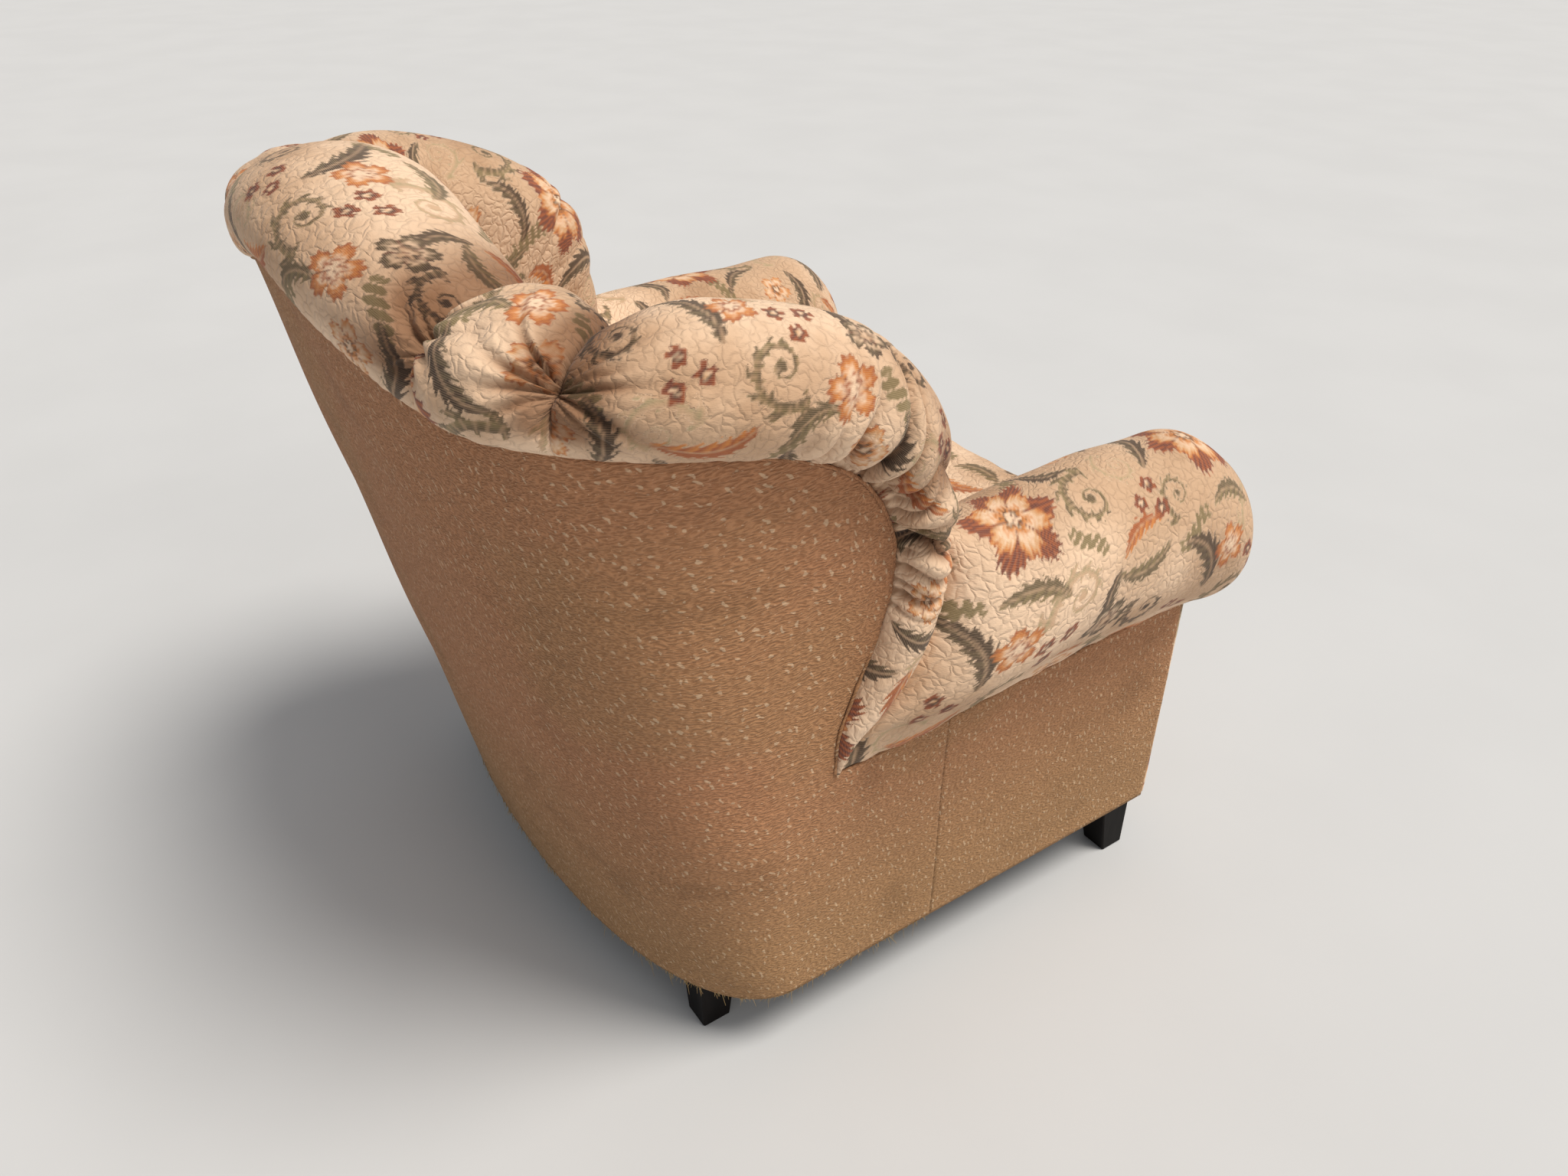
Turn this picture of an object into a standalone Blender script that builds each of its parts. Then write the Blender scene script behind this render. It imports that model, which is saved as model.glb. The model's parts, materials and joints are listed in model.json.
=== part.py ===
"""A rolled-arm wing armchair with a channelled back, built up as an upholsterer builds one.

Metres, +Z up, and the sitter faces -Y. The origin is on the floor under the middle of the chair.
Right-hand pieces are on the sitter's right, at -X. The left-hand ones are their mirror images.
A place on the curved outside is given by its distance round the plan from the middle of the back
(positive towards the sitter's right), its height, and its depth inward from the outside cover.
"""

import math

import bmesh
import bpy
import numpy as np

# Plan and lean of the outside
HALF_WIDTH = 0.386  # centre plane to the outside of a side panel
ROUND_START_Y = 0.1135  # where the straight side turns into the rounded back
ROUND_DEPTH = 0.146  # how far the rounded back reaches behind that
ROUND_POWER = 2.2  # 2 is an ellipse, and more is squarer
SIDE_LENGTH = 0.5425  # straight side, from the turn to the front edge of the panel
BACK_RAKE = 0.190  # how far the back leans for each metre of height
LEAN_FORE = 0.0666  # the lean fades in from this far in front of the turn
LEAN_AFT = 0.0888  # and is full this far behind it

# Heights
LEG_HEIGHT = 0.086
HEM_Z = LEG_HEIGHT - 0.008  # lower edge of the outside covers, which have dropped a little
DUST_COVER_THICKNESS = 0.0015
RAIL_HEIGHT = 0.095
SEAT_TOP_Z = LEG_HEIGHT + 0.342  # crown of the seat at its front roll
SEAT_DEPTH = 0.090  # crown to the lower edge of the seat's front roll
SEAT_SAG = 0.022  # how far the middle of the seat has sunk
SEAT_DROP = 0.030  # how far the seat falls towards the back
ARM_BOARD_TOP_Z = LEG_HEIGHT + 0.378
BACK_FOOT_Z = LEG_HEIGHT + 0.264  # lower end of the back pads

# Timber
LEG_TOP_WIDTH = 0.048
LEG_FOOT_WIDTH = 0.034
LEG_REAR_INSET = 0.066  # outer face of a rear leg, in from the side
LEG_REAR_Y = 0.194  # back face of a rear leg
LEG_FRONT_INSET = 0.006
LEG_FRONT_SETBACK = 0.014
BOARD_THICKNESS = 0.025
ARM_BOARD_WIDTH = 0.064
STUMP_WIDTH = 0.034
POST_WIDTH = 0.048
CORNER_BLOCK = 0.052
BLOCK_DEPTH = 0.045
TOP_RAIL_Z = (LEG_HEIGHT + 0.582, LEG_HEIGHT + 0.630)
BACK_STUFF_RAIL_Z = (LEG_HEIGHT + 0.282, LEG_HEIGHT + 0.327)
ARM_STUFF_RAIL_Z = (LEG_HEIGHT + 0.162, LEG_HEIGHT + 0.202)
EASED_EDGE = 0.001  # bevel on sawn timber
WING_BOARD_INSET = 0.020  # timber keeps this far inside the wing's seam

# Cloth
COVER_THICKNESS = 0.003
WEBBING_THICKNESS = 0.002
CANVAS_THICKNESS = 0.002
WEB_WIDTH = 0.060
WEB_PITCH = 0.130
BACK_WEB_STRIPS = 5  # upright strips, from post to post

# Springs
SPRING_PITCH = WEB_PITCH
SPRING_RADIUS = 0.042
SPRING_WAIST = 0.029
SPRING_TURNS = 3.25
SPRING_WIRE = 0.0019  # radius
SEAT_CANVAS_Z = LEG_HEIGHT + 0.222
SPRING_FIELD_IN = 0.299  # centre of the springs, in from the front of the panels

# Clearances
FIT = 0.0004  # between flat pieces that touch
SHELL_FIT = 0.0008  # between layers that follow the rounded back
PAD_FIT = 0.0012  # between stuffed pieces that press on each other
BOARD_DEPTH = COVER_THICKNESS + 0.0018  # outer face of the timber, in from the outside cover
WEB_DEPTH = BOARD_DEPTH + BOARD_THICKNESS + SHELL_FIT
CANVAS_DEPTH = WEB_DEPTH + WEBBING_THICKNESS + 2 * SHELL_FIT
PAD_DEPTH = CANVAS_DEPTH + CANVAS_THICKNESS + 0.0040  # back face of the pads

# Arms
ARM_ROLL_X = 0.372  # centre of the roll
ARM_ROLL_Z = LEG_HEIGHT + 0.414
ARM_ROLL_WIDE = 0.087
ARM_ROLL_HIGH = 0.098
ARM_INNER_X = 0.277  # inside face of an arm
ARM_WING_GAP = 0.006  # between an arm's rear end and the wing that it runs up to
ARM_NOSE_LENGTH = 0.046  # how far the roll stands in front of the facing
ARM_ROUNDING = 0.034  # length behind the facing over which the roll starts to round off
ARM_DROOP = 0.030  # how far the roll's nose has sunk
ARM_DROOP_LENGTH = 0.059  # length behind the facing over which it starts to sink
ARM_SEAM_FRONT_Z = LEG_HEIGHT + 0.296
PANEL_SEAM = 0.185  # side length between the turn and the seam down the side panel
FACING_DEPTH = 0.007
BORDER_DEPTH = 0.012
BORDER_TOP_Z = LEG_HEIGHT + 0.248

# Back and wings, as stations along the top seam from the middle of the back to the foot of the wing:
# place round the plan, height of the seam above the legs, how far the roll stands out, up and across,
# and where the pad's inside face meets the seat
STATION_RISES = (
    (0.000, 0.732, 0.016, 0.088, 0.172, 0.000, 0.135),
    (0.132, 0.704, 0.020, 0.092, 0.170, -0.130, 0.130),
    (0.252, 0.676, 0.025, 0.090, 0.165, -0.205, 0.112),
    (0.312, 0.673, 0.032, 0.094, 0.160, -0.232, 0.096),
    (0.370, 0.667, 0.034, 0.096, 0.156, -0.252, 0.078),
    (0.432, 0.647, 0.044, 0.110, 0.156, -0.262, 0.0765),
    (0.484, 0.610, 0.046, 0.114, 0.158, -0.268, 0.0745),
    (0.521, 0.570, 0.045, 0.100, 0.156, -0.272, 0.0725),
    (0.544, 0.520, 0.042, 0.070, 0.150, -0.275, 0.0700),
    (0.543, 0.470, 0.036, 0.056, 0.144, -0.277, 0.0675),
    (0.530, 0.420, 0.028, 0.044, 0.136, -0.278, 0.0645),
    (0.508, 0.366, 0.016, 0.026, 0.124, -0.278, 0.0610),
    (0.494, 0.325, 0.008, 0.013, 0.116, -0.278, 0.0580),
    (0.490, 0.276, 0.003, 0.005, 0.112, -0.278, 0.0540),
)
STATIONS = [(place, LEG_HEIGHT + rise, *rest) for place, rise, *rest in STATION_RISES]
VALLEYS = (0.255, 0.373)  # seam lengths at which the channels meet
CHANNEL_DEPTH = 0.030
WING_SHOULDER = 0.085  # seam length in which a wing swells to its full section
WING_TURN = 0.11  # seam length in which a wing's back edge swings forward
GATHER_PITCH = 0.026
GATHER_DEPTH = 0.0035

MERGE_DISTANCE = 0.00005

COLLECTION = "armchair"


def clear_scene():
    for thing in list(bpy.data.objects):
        bpy.data.objects.remove(thing, do_unlink=True)


def material(name, colour, roughness, metallic=0.0):
    made = bpy.data.materials.new(name)
    made.use_nodes = True
    shader = made.node_tree.nodes["Principled BSDF"]
    shader.inputs["Base Color"].default_value = (*colour, 1.0)
    shader.inputs["Roughness"].default_value = roughness
    shader.inputs["Metallic"].default_value = metallic
    return made


def put_in_scene(name, mesh_or_curve, finish):
    thing = bpy.data.objects.new(name, mesh_or_curve)
    bpy.data.collections[COLLECTION].objects.link(thing)
    thing.data.materials.append(finish)
    return thing


def from_bmesh(name, shape, finish, smooth=False):
    mesh = bpy.data.meshes.new(name)
    shape.to_mesh(mesh)
    shape.free()
    thing = put_in_scene(name, mesh, finish)
    if smooth:
        mesh.shade_smooth()
        mesh.set_sharp_from_angle(angle=math.radians(50))
    return thing


def hermite(knots, rows):
    """A smooth curve through rows of values, one row for each knot."""
    knots = np.array(knots, float)
    rows = np.array(rows, float)
    slopes = np.gradient(rows, knots, axis=0)

    def at(x):
        x = min(max(x, knots[0]), knots[-1])
        i = min(int(np.searchsorted(knots, x, side="right")) - 1, len(knots) - 2)
        span = knots[i + 1] - knots[i]
        u = (x - knots[i]) / span
        return ((2 * u**3 - 3 * u**2 + 1) * rows[i] + (u**3 - 2 * u**2 + u) * span * slopes[i]
                + (3 * u**2 - 2 * u**3) * rows[i + 1] + (u**3 - u**2) * span * slopes[i + 1])

    return at


def ease(x):
    x = min(max(x, 0.0), 1.0)
    return x * x * (3 - 2 * x)


def trace_plan():
    """Points round the right half of the plan, and their distance from the middle of the back."""
    angle = np.linspace(0, math.pi / 2, 721)
    x = -HALF_WIDTH * np.sin(angle) ** (2 / ROUND_POWER)
    y = ROUND_START_Y + ROUND_DEPTH * np.cos(angle) ** (2 / ROUND_POWER)
    x = np.append(x, -HALF_WIDTH)
    y = np.append(y, ROUND_START_Y - SIDE_LENGTH)
    far = np.insert(np.cumsum(np.hypot(np.diff(x), np.diff(y))), 0, 0.0)
    return x, y, far


PLAN_X, PLAN_Y, PLAN_FAR = trace_plan()
TURN = PLAN_FAR[-2]  # place round the plan where the straight side starts
FRONT = PLAN_FAR[-1]
PLAN_STEP = TURN / 20  # one common spacing, so that layers round the back have matching facets


def outward(place):
    """Horizontal direction that the outside faces."""
    near = abs(place)
    reach = 0.004
    low, high = max(near - reach, 0.0), min(near + reach, FRONT)
    dx = np.interp(high, PLAN_FAR, PLAN_X) - np.interp(low, PLAN_FAR, PLAN_X)
    dy = np.interp(high, PLAN_FAR, PLAN_Y) - np.interp(low, PLAN_FAR, PLAN_Y)
    if near < 1e-6:
        dx, dy = -1.0, 0.0
    length = math.hypot(dx, dy)
    x, y = dy / length, -dx / length
    return np.array((x if place >= 0 else -x, y, 0.0))


def shell(place, height, depth=0.0):
    """A point on the outside, or at a depth inside it."""
    x = np.interp(abs(place), PLAN_FAR, PLAN_X)
    y = np.interp(abs(place), PLAN_FAR, PLAN_Y)
    lean = ease((y - ROUND_START_Y + LEAN_FORE) / (LEAN_FORE + LEAN_AFT))
    x = x if place >= 0 else -x
    point = np.array((x, y + lean * BACK_RAKE * (height - HEM_Z), height))
    return point - outward(place) * depth


def side_place(y):
    """Place round the plan of a point on the straight side."""
    return TURN + ROUND_START_Y - y


def plan_stops(low, high):
    """Both ends and the common facet lines between them."""
    stops = [low]
    step = math.ceil(low / PLAN_STEP + 0.3)
    while step * PLAN_STEP < high - 0.3 * PLAN_STEP:
        place = step * PLAN_STEP
        if abs(place) <= TURN + 0.5 * PLAN_STEP:
            stops.append(place)
        step += 1
    stops.append(high)
    return stops


def mapped_grid(columns, rows, place_point):
    """A grid primitive whose vertices are moved to place_point(column, row)."""
    shape = bmesh.new()
    bmesh.ops.create_grid(shape, x_segments=columns, y_segments=rows, size=0.5)
    for vertex in shape.verts:
        u = round((vertex.co.x + 0.5) * columns)
        v = round((vertex.co.y + 0.5) * rows)
        vertex.co = place_point(u, v)
    return shape


def loft(name, loops, finish, halved=False, ladder=False):
    """A closed solid through a row of closed loops with equal numbers of points.

    A halved solid is left open at its last loop, on the centre plane, and mirrored there.
    A ladder closes a bent first loop with rungs between its two sides.
    """
    shape = bmesh.new()
    rings = [[shape.verts.new(point) for point in loop] for loop in loops]
    count = len(rings[0])
    for ring, following in zip(rings, rings[1:]):
        for i in range(count):
            j = (i + 1) % count
            shape.faces.new((ring[i], ring[j], following[j], following[i]))
    caps = [shape.faces.new(rings[-1])]
    if ladder:
        for i in range(count // 2 - 1):
            j = count - 1 - i
            shape.faces.new((rings[0][i], rings[0][i + 1], rings[0][j - 1], rings[0][j]))
    else:
        caps.insert(0, shape.faces.new(rings[0]))
    bmesh.ops.recalc_face_normals(shape, faces=shape.faces)
    if halved:
        bmesh.ops.delete(shape, geom=[caps.pop()], context="FACES_ONLY")
    bmesh.ops.triangulate(shape, faces=caps)
    bmesh.ops.dissolve_degenerate(shape, edges=shape.edges, dist=MERGE_DISTANCE)
    thing = from_bmesh(name, shape, finish, smooth=True)
    if halved:
        mirror = thing.modifiers.new("other half", "MIRROR")
        mirror.merge_threshold = MERGE_DISTANCE
    return thing


def mirrored(source, name):
    """The left-hand copy of a right-hand piece."""
    mesh = source.data.copy()
    shape = bmesh.new()
    shape.from_mesh(mesh)
    bmesh.ops.scale(shape, vec=(-1, 1, 1), verts=shape.verts)
    bmesh.ops.reverse_faces(shape, faces=shape.faces)
    shape.to_mesh(mesh)
    shape.free()
    copy = bpy.data.objects.new(name, mesh)
    bpy.data.collections[COLLECTION].objects.link(copy)
    for modifier in source.modifiers:
        thickness = copy.modifiers.new(modifier.name, "SOLIDIFY")
        thickness.thickness = modifier.thickness
        thickness.offset = modifier.offset
    return copy


def pair(make, name, *values):
    """A right-hand piece and its left-hand copy."""
    right = make("right_" + name, *values)
    mirrored(right, "left_" + name)


def box(name, low, high, finish, bevel=0.0):
    shape = bmesh.new()
    bmesh.ops.create_cube(shape, size=1.0)
    low, high = np.array(low), np.array(high)
    for vertex in shape.verts:
        vertex.co = (low + high) / 2 + np.array(vertex.co) * (high - low)
    if bevel:
        bmesh.ops.bevel(shape, geom=shape.edges, offset=bevel, segments=1, profile=0.5,
                        affect="EDGES", material=-1)
    return from_bmesh(name, shape, finish)


def band(name, low, high, bottom, top, depth, thickness, finish, rows=1):
    """A board bent round the outside, between two places and two heights."""
    stops = plan_stops(low, high)
    heights = [bottom + (top - bottom) * row / rows for row in range(rows + 1)]
    loops = []
    for place in stops:
        outer = [shell(place, height, depth) for height in heights]
        inner = [shell(place, height, depth + thickness) for height in reversed(heights)]
        loops.append(outer + inner)
    return loft(name, loops, finish)


# Seam line of the back and wings, by length along it
SEAM_KNOTS = np.insert(np.cumsum([math.dist(a[:2], b[:2]) for a, b in zip(STATIONS, STATIONS[1:])]),
                       0, 0.0)
SEAM_END = SEAM_KNOTS[-1]
station_at = hermite(np.concatenate((-SEAM_KNOTS[:0:-1], SEAM_KNOTS)),
                     [(-s, z, o, h, w, -x, y) for s, z, o, h, w, x, y in STATIONS[:0:-1]]
                     + list(STATIONS))


def channel_edges():
    return [-SEAM_END, -VALLEYS[1], -VALLEYS[0], VALLEYS[0], VALLEYS[1], SEAM_END]


def fullness(along):
    """1 in the middle of a channel, falling to 0 in the valleys beside it."""
    edges = channel_edges()
    low = max(edge for edge in edges[:-1] if edge <= along + 1e-9)
    high = min(edge for edge in edges[1:] if edge > low)
    if SEAM_END in (high, -low):
        share = min((abs(along) - VALLEYS[1]) / WING_SHOULDER, 1.0)
    else:
        share = min(along - low, high - along) / ((high - low) / 2)
    return math.sqrt(max(1 - (1 - share) ** 2.4, 0.0))


def pad_section(along, arc_steps=8, face_steps=5, gathers=GATHER_DEPTH):
    """The closed section of a back or wing pad at a length along the seam."""
    place, seam_z, out, high, wide, foot_x, foot_y = station_at(along)
    here = shell(place, seam_z)
    normal = outward(place)
    step = 0.003
    before, after = station_at(along - step), station_at(along + step)
    run = shell(after[0], after[1]) - shell(before[0], before[1])
    run -= normal * run.dot(normal)
    run /= np.linalg.norm(run)
    up = np.cross(run, normal)
    if up[2] * max(0.2, 0.9 - abs(along)) + up[1] * -0.3 < 0:
        up = -up
    middle = 0.38 * high
    points = []
    for i in range(3):
        turn = math.pi / 2 * i / 3
        points.append(here + normal * (out * math.sin(turn)) + up * (middle * (1 - math.cos(turn))))
    for i in range(arc_steps + 1):
        turn = math.pi * i / arc_steps
        across = out - wide / 2 + wide / 2 * math.cos(turn)
        points.append(here + normal * across + up * (middle + (high - middle) * math.sin(turn)))
    top_face = points[-1]
    foot = np.array((foot_x, foot_y, BACK_FOOT_Z))
    reach = np.linalg.norm(foot - top_face)
    for i in range(1, face_steps + 1):
        u = i / face_steps
        points.append((2 * u**3 - 3 * u**2 + 1) * top_face + (u**3 - 2 * u**2 + u) * (-up * reach)
                      + (3 * u**2 - 2 * u**3) * foot
                      + (u**3 - u**2) * np.array((0.0, -0.15, -1.0)) * reach)
    front = np.array(points)
    tangents = np.gradient(front, axis=0)
    facing = np.cross(tangents, run)
    facing /= np.linalg.norm(facing, axis=1)[:, None]
    if facing[0].dot(up) > 0.2 or facing[3].dot(normal) < 0:
        facing = -facing
    sunk = CHANNEL_DEPTH * (1 - fullness(along))
    window = ease((abs(along) - 0.50) / 0.06) * ease((0.86 - abs(along)) / 0.08)
    ripple = gathers * window * math.cos(2 * math.pi * abs(along) / GATHER_PITCH)
    for i in range(len(front)):
        grip = ease(i / 3)
        bottom = ease((len(front) - 1 - i) / 2.5)
        fade = ease((9 - i) / 6)
        front[i] += facing[i] * (-sunk * grip * bottom + ripple * grip * fade)
    front[0] += up * PAD_FIT
    forward = ease((abs(along) - VALLEYS[1]) / WING_TURN)
    foot_place = place + (math.copysign(side_place(foot_y), place) - place) * forward
    back_low = shell(foot_place, BACK_FOOT_Z, PAD_DEPTH)
    back_high = here - normal * PAD_DEPTH + up * 2 * PAD_FIT
    back_middle = (back_low + back_high) / 2
    return list(front) + [back_low, back_middle, back_high]


def pad_run(name, low, high, count, finish):
    """A channel of the back, or a wing, between two lengths along the seam."""
    stops = np.linspace(low + PAD_FIT / 2, high - PAD_FIT / 2, count)
    return loft(name, [pad_section(along) for along in stops], finish)


def centre_channel(count, finish):
    stops = np.linspace(VALLEYS[0] - PAD_FIT / 2, 0.0, count)
    return loft("centre_channel", [pad_section(along) for along in stops], finish, halved=True)


def arm_seam_z(y):
    """Height of the seam under an arm's roll."""
    rear_y = ROUND_START_Y - (STATIONS[-1][0] - TURN)
    share = (rear_y - y) / (rear_y - PANEL_FRONT_Y)
    return STATIONS[-1][1] + (ARM_SEAM_FRONT_Z - STATIONS[-1][1]) * share


PANEL_FRONT_Y = ROUND_START_Y - SIDE_LENGTH
SPRING_FIELD_Y = PANEL_FRONT_Y + SPRING_FIELD_IN
DUST_COVER_Z = LEG_HEIGHT + FIT
WEBBING_Z = DUST_COVER_Z + DUST_COVER_THICKNESS + FIT
RAIL_Z = WEBBING_Z + WEBBING_THICKNESS + FIT
RAIL_TOP_Z = RAIL_Z + RAIL_HEIGHT
FRAME_X = HALF_WIDTH - BOARD_DEPTH  # outer face of the timber at the sides
HOLLOW_X = FRAME_X - ARM_BOARD_WIDTH - 2 * FIT  # inner wall of the space for an arm's frame
INNER_PAD_Z = RAIL_TOP_Z + FIT  # lower edge of the inside arms


def solid_sheet(name, shape, thickness, finish):
    """A sheet with its thickness on the side away from its normals."""
    thing = from_bmesh(name, shape, finish, smooth=True)
    solidify = thing.modifiers.new("thickness", "SOLIDIFY")
    solidify.thickness = thickness
    solidify.offset = -1.0
    return thing


def face_away(shape, centre):
    """Turn every face of an open sheet away from a point."""
    for face in shape.faces:
        if (np.array(face.calc_center_median()) - centre).dot(np.array(face.normal)) < 0:
            face.normal_flip()


def seam_side(share):
    """Place and height on the front edge of a wing's outside, from its foot to its shoulder."""
    along = SEAM_END + (SHOULDER - SEAM_END) * share
    return station_at(along)[:2]


SHOULDER = SEAM_KNOTS[8]  # seam length at the foremost point of a wing's outside
COVER_COLUMNS = 40
COVER_ROWS = 8


def outside_back_cover(finish):
    """One cloth round the back and both wings, to the seams down the side panels."""
    foot = STATIONS[-1][0]
    low_z = STATIONS[-1][1]

    def upper(column, row):
        u, v = column / COVER_COLUMNS, row / COVER_ROWS
        side = math.copysign(1.0, u - 0.5)
        bottom = np.array((foot * (2 * u - 1), low_z))
        top = np.array(station_at(SHOULDER * (2 * u - 1))[:2])
        edge_place, edge_z = seam_side(v)
        left, right = np.array((-edge_place, edge_z)), np.array((edge_place, edge_z))
        shoulder_place, shoulder_z = seam_side(1.0)
        flat = (1 - v) * np.array((foot * (2 * u - 1), low_z)) + v * np.array(
            (shoulder_place * (2 * u - 1), shoulder_z))
        place, height = (1 - v) * bottom + v * top + (1 - u) * left + u * right - flat
        back = 0.6 * PAD_FIT * abs(2 * u - 1) ** 8 * ease(6 * v)
        return shell(place - math.copysign(back, place), height - 0.5 * PAD_FIT * v)

    shape = mapped_grid(COVER_COLUMNS, COVER_ROWS, upper)
    rows = 4

    def lower(column, row):
        place = foot * (2 * column / COVER_COLUMNS - 1)
        return shell(place, HEM_Z + (low_z - HEM_Z) * row / rows)

    def panel(side):
        def place_point(column, row):
            place = foot + (TURN + PANEL_SEAM - foot) * column / 4
            y = ROUND_START_Y - (place - TURN)
            top = low_z + (arm_seam_z(y) - low_z) * ease(column / 2)
            return shell(side * place, HEM_Z + (top - HEM_Z) * row / rows)
        return place_point

    for columns, place_point in ((COVER_COLUMNS, lower), (4, panel(1)), (4, panel(-1))):
        part = mapped_grid(columns, rows, place_point)
        spare = bpy.data.meshes.new("spare")
        part.to_mesh(spare)
        part.free()
        shape.from_mesh(spare)
        bpy.data.meshes.remove(spare)
    bmesh.ops.remove_doubles(shape, verts=shape.verts, dist=MERGE_DISTANCE)
    shape.normal_update()
    face_away(shape, np.array((0.0, -0.15, 0.45)))
    return solid_sheet("outside_back_cover", shape, COVER_THICKNESS, finish)


def outside_arm_cover(name, finish):
    rear = TURN + PANEL_SEAM + FIT

    def place_point(column, row):
        place = rear + (FRONT - rear) * column / 6
        y = ROUND_START_Y - (place - TURN)
        return shell(place, HEM_Z + (arm_seam_z(y) - HEM_Z) * row / 2)

    shape = mapped_grid(6, 2, place_point)
    shape.normal_update()
    face_away(shape, np.array((0.0, -0.15, 0.45)))
    return solid_sheet(name, shape, COVER_THICKNESS, finish)


def wing_front_line():
    """Height and Y of the foremost outline of a wing, down to its foot."""
    points = np.array([point for along in np.linspace(SHOULDER - 0.10, SEAM_END, 90)
                       for point in pad_section(along)[:-3]])
    line = []
    for z in np.arange(STATIONS[-1][1], ARM_ROLL_Z + ARM_ROLL_HIGH + 0.02, 0.01):
        near = points[np.abs(points[:, 2] - z) < 0.012]
        line.append((z, near[:, 1].min()))
    return np.array(line)


def arm_roll_at(y):
    """Centre and relative size of an arm's roll, which rounds off and droops at its nose."""
    into = max(0.0, (PANEL_FRONT_Y + ARM_ROUNDING - y) / (ARM_NOSE_LENGTH + ARM_ROUNDING))
    size = math.sqrt(max(1 - into**2.2, 0.03))
    droop = ease((PANEL_FRONT_Y + ARM_DROOP_LENGTH - y) / (ARM_NOSE_LENGTH + ARM_DROOP_LENGTH))
    low_rear = 0.010 * ease((y + 0.22) / 0.2)
    return ARM_ROLL_X + 0.012 * (1 - size), ARM_ROLL_Z - ARM_DROOP * droop - low_rear, size


def arm_pad(name, finish, arc_steps=9, face_steps=4, lengths=7):
    """The roll of an arm, its inside face and its drooping nose, round the arm's timber."""
    line = wing_front_line()
    fore = PANEL_FRONT_Y + 0.004
    loops = []

    def rear_at(z):
        return np.interp(z, line[:, 0], line[:, 1]) - ARM_WING_GAP

    def roll(y, turns):
        centre_x, centre_z, size = arm_roll_at(y)
        return [(-centre_x - size * ARM_ROLL_WIDE * math.cos(turn),
                 centre_z + size * ARM_ROLL_HIGH * math.sin(turn)) for turn in turns]

    arc = [math.radians(-50 + 230 * i / arc_steps) for i in range(arc_steps + 1)]
    for step in range(lengths + 1):
        share = 1 - (step / lengths) ** 0.85
        y = fore + share * (-0.04 - fore)
        seam_z = arm_seam_z(fore + share * (rear_at(STATIONS[-1][1]) - fore)) + PAD_FIT
        section = [(-HALF_WIDTH, seam_z)] + roll(y, arc)
        top_x, top_z = section[-1]
        for i in range(1, face_steps + 1):
            u = i / face_steps
            section.append((top_x + (-ARM_INNER_X - top_x) * ease(min(2 * u, 1)),
                            top_z + (INNER_PAD_Z - top_z) * u))
        cap_z = ARM_BOARD_TOP_Z + FIT
        inner = HALF_WIDTH - COVER_THICKNESS - FIT
        hollow = [(-HOLLOW_X, INNER_PAD_Z + (cap_z - INNER_PAD_Z) * i / face_steps)
                  for i in range(face_steps + 1)]
        hollow += [(-HOLLOW_X + (HOLLOW_X - inner) * i / (arc_steps - 1), cap_z)
                   for i in range(1, arc_steps)]
        section += hollow + [(-inner, (cap_z + seam_z) / 2), (-inner, seam_z)]
        loops.append([(x, fore + share * (rear_at(z) - fore), z) for x, z in section])
    spare = face_steps + len(hollow) + 2
    round_turns = ([math.radians(-72)] + arc
                   + [math.radians(180 + 100 * i / (spare + 1)) for i in range(1, spare + 1)])
    tip_y = PANEL_FRONT_Y - ARM_NOSE_LENGTH
    for step in range(8):
        y = PANEL_FRONT_Y + (tip_y - PANEL_FRONT_Y) * math.sin(math.pi / 2 * step / 7)
        loops.append([(x, y, z) for x, z in roll(y, round_turns)])
    return loft(name, loops, finish, ladder=True)


def arm_underside(y):
    """Lowest point of an arm's roll between the facing's front and the panel's edge."""
    return min(centre_z - size * ARM_ROLL_HIGH
               for _, centre_z, size in (arm_roll_at(y), arm_roll_at(PANEL_FRONT_Y)))


def seat_pad(finish):
    """The sprung seat's stuffing, sunk in the middle, with a roll along its front."""
    rear = [station_at(along)[5:7] for along in np.linspace(SEAM_KNOTS[6], -SEAM_KNOTS[6], 15)]
    side_x = ARM_INNER_X - PAD_FIT
    centre_y = (PANEL_FRONT_Y + 0.13) / 2

    def outline(inset, front_y):
        points = [(max(-side_x, min(side_x, x)), y - PAD_FIT - 0.004) for x, y in rear]
        front = [(side_x, -0.10), (side_x, -0.25), (side_x, front_y + 0.05),
                 (side_x - 0.012, front_y + 0.010), (side_x - 0.045, front_y), (0.13, front_y),
                 (0.0, front_y)]
        points += front + [(-x, y) for x, y in reversed(front[:-1])]
        half = side_x
        return [(x * (1 - inset / half), centre_y + (y - centre_y) * (1 - inset / half))
                for x, y in points]

    low_z = SEAT_CANVAS_Z + CANVAS_THICKNESS + FIT
    crown = SEAT_TOP_Z
    roll_z = crown - SEAT_DEPTH
    levels = ((low_z, 0.006, PANEL_FRONT_Y + 0.002), (roll_z, 0.0, PANEL_FRONT_Y + 0.001),
              (roll_z + 0.014, 0.0, PANEL_FRONT_Y - 0.018),
              (roll_z + 0.053, 0.0, PANEL_FRONT_Y - 0.028),
              (crown - 0.014, 0.004, PANEL_FRONT_Y - 0.020), (crown, 0.024, PANEL_FRONT_Y),
              (crown - 0.004, 0.075, PANEL_FRONT_Y + 0.01),
              (crown - SEAT_SAG * 0.7, 0.135, PANEL_FRONT_Y + 0.02),
              (crown - SEAT_SAG, 0.205, PANEL_FRONT_Y + 0.03))
    loops = []
    for z, inset, front_y in levels:
        share = max(0.0, (z - roll_z - 0.008) / (SEAT_DEPTH - 0.010))
        loops.append([(x, y, z - SEAT_DROP * share * ease((y - PANEL_FRONT_Y - 0.129) / 0.4))
                      for x, y in outline(inset, front_y)])
    return loft("seat_pad", loops, finish)


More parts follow.
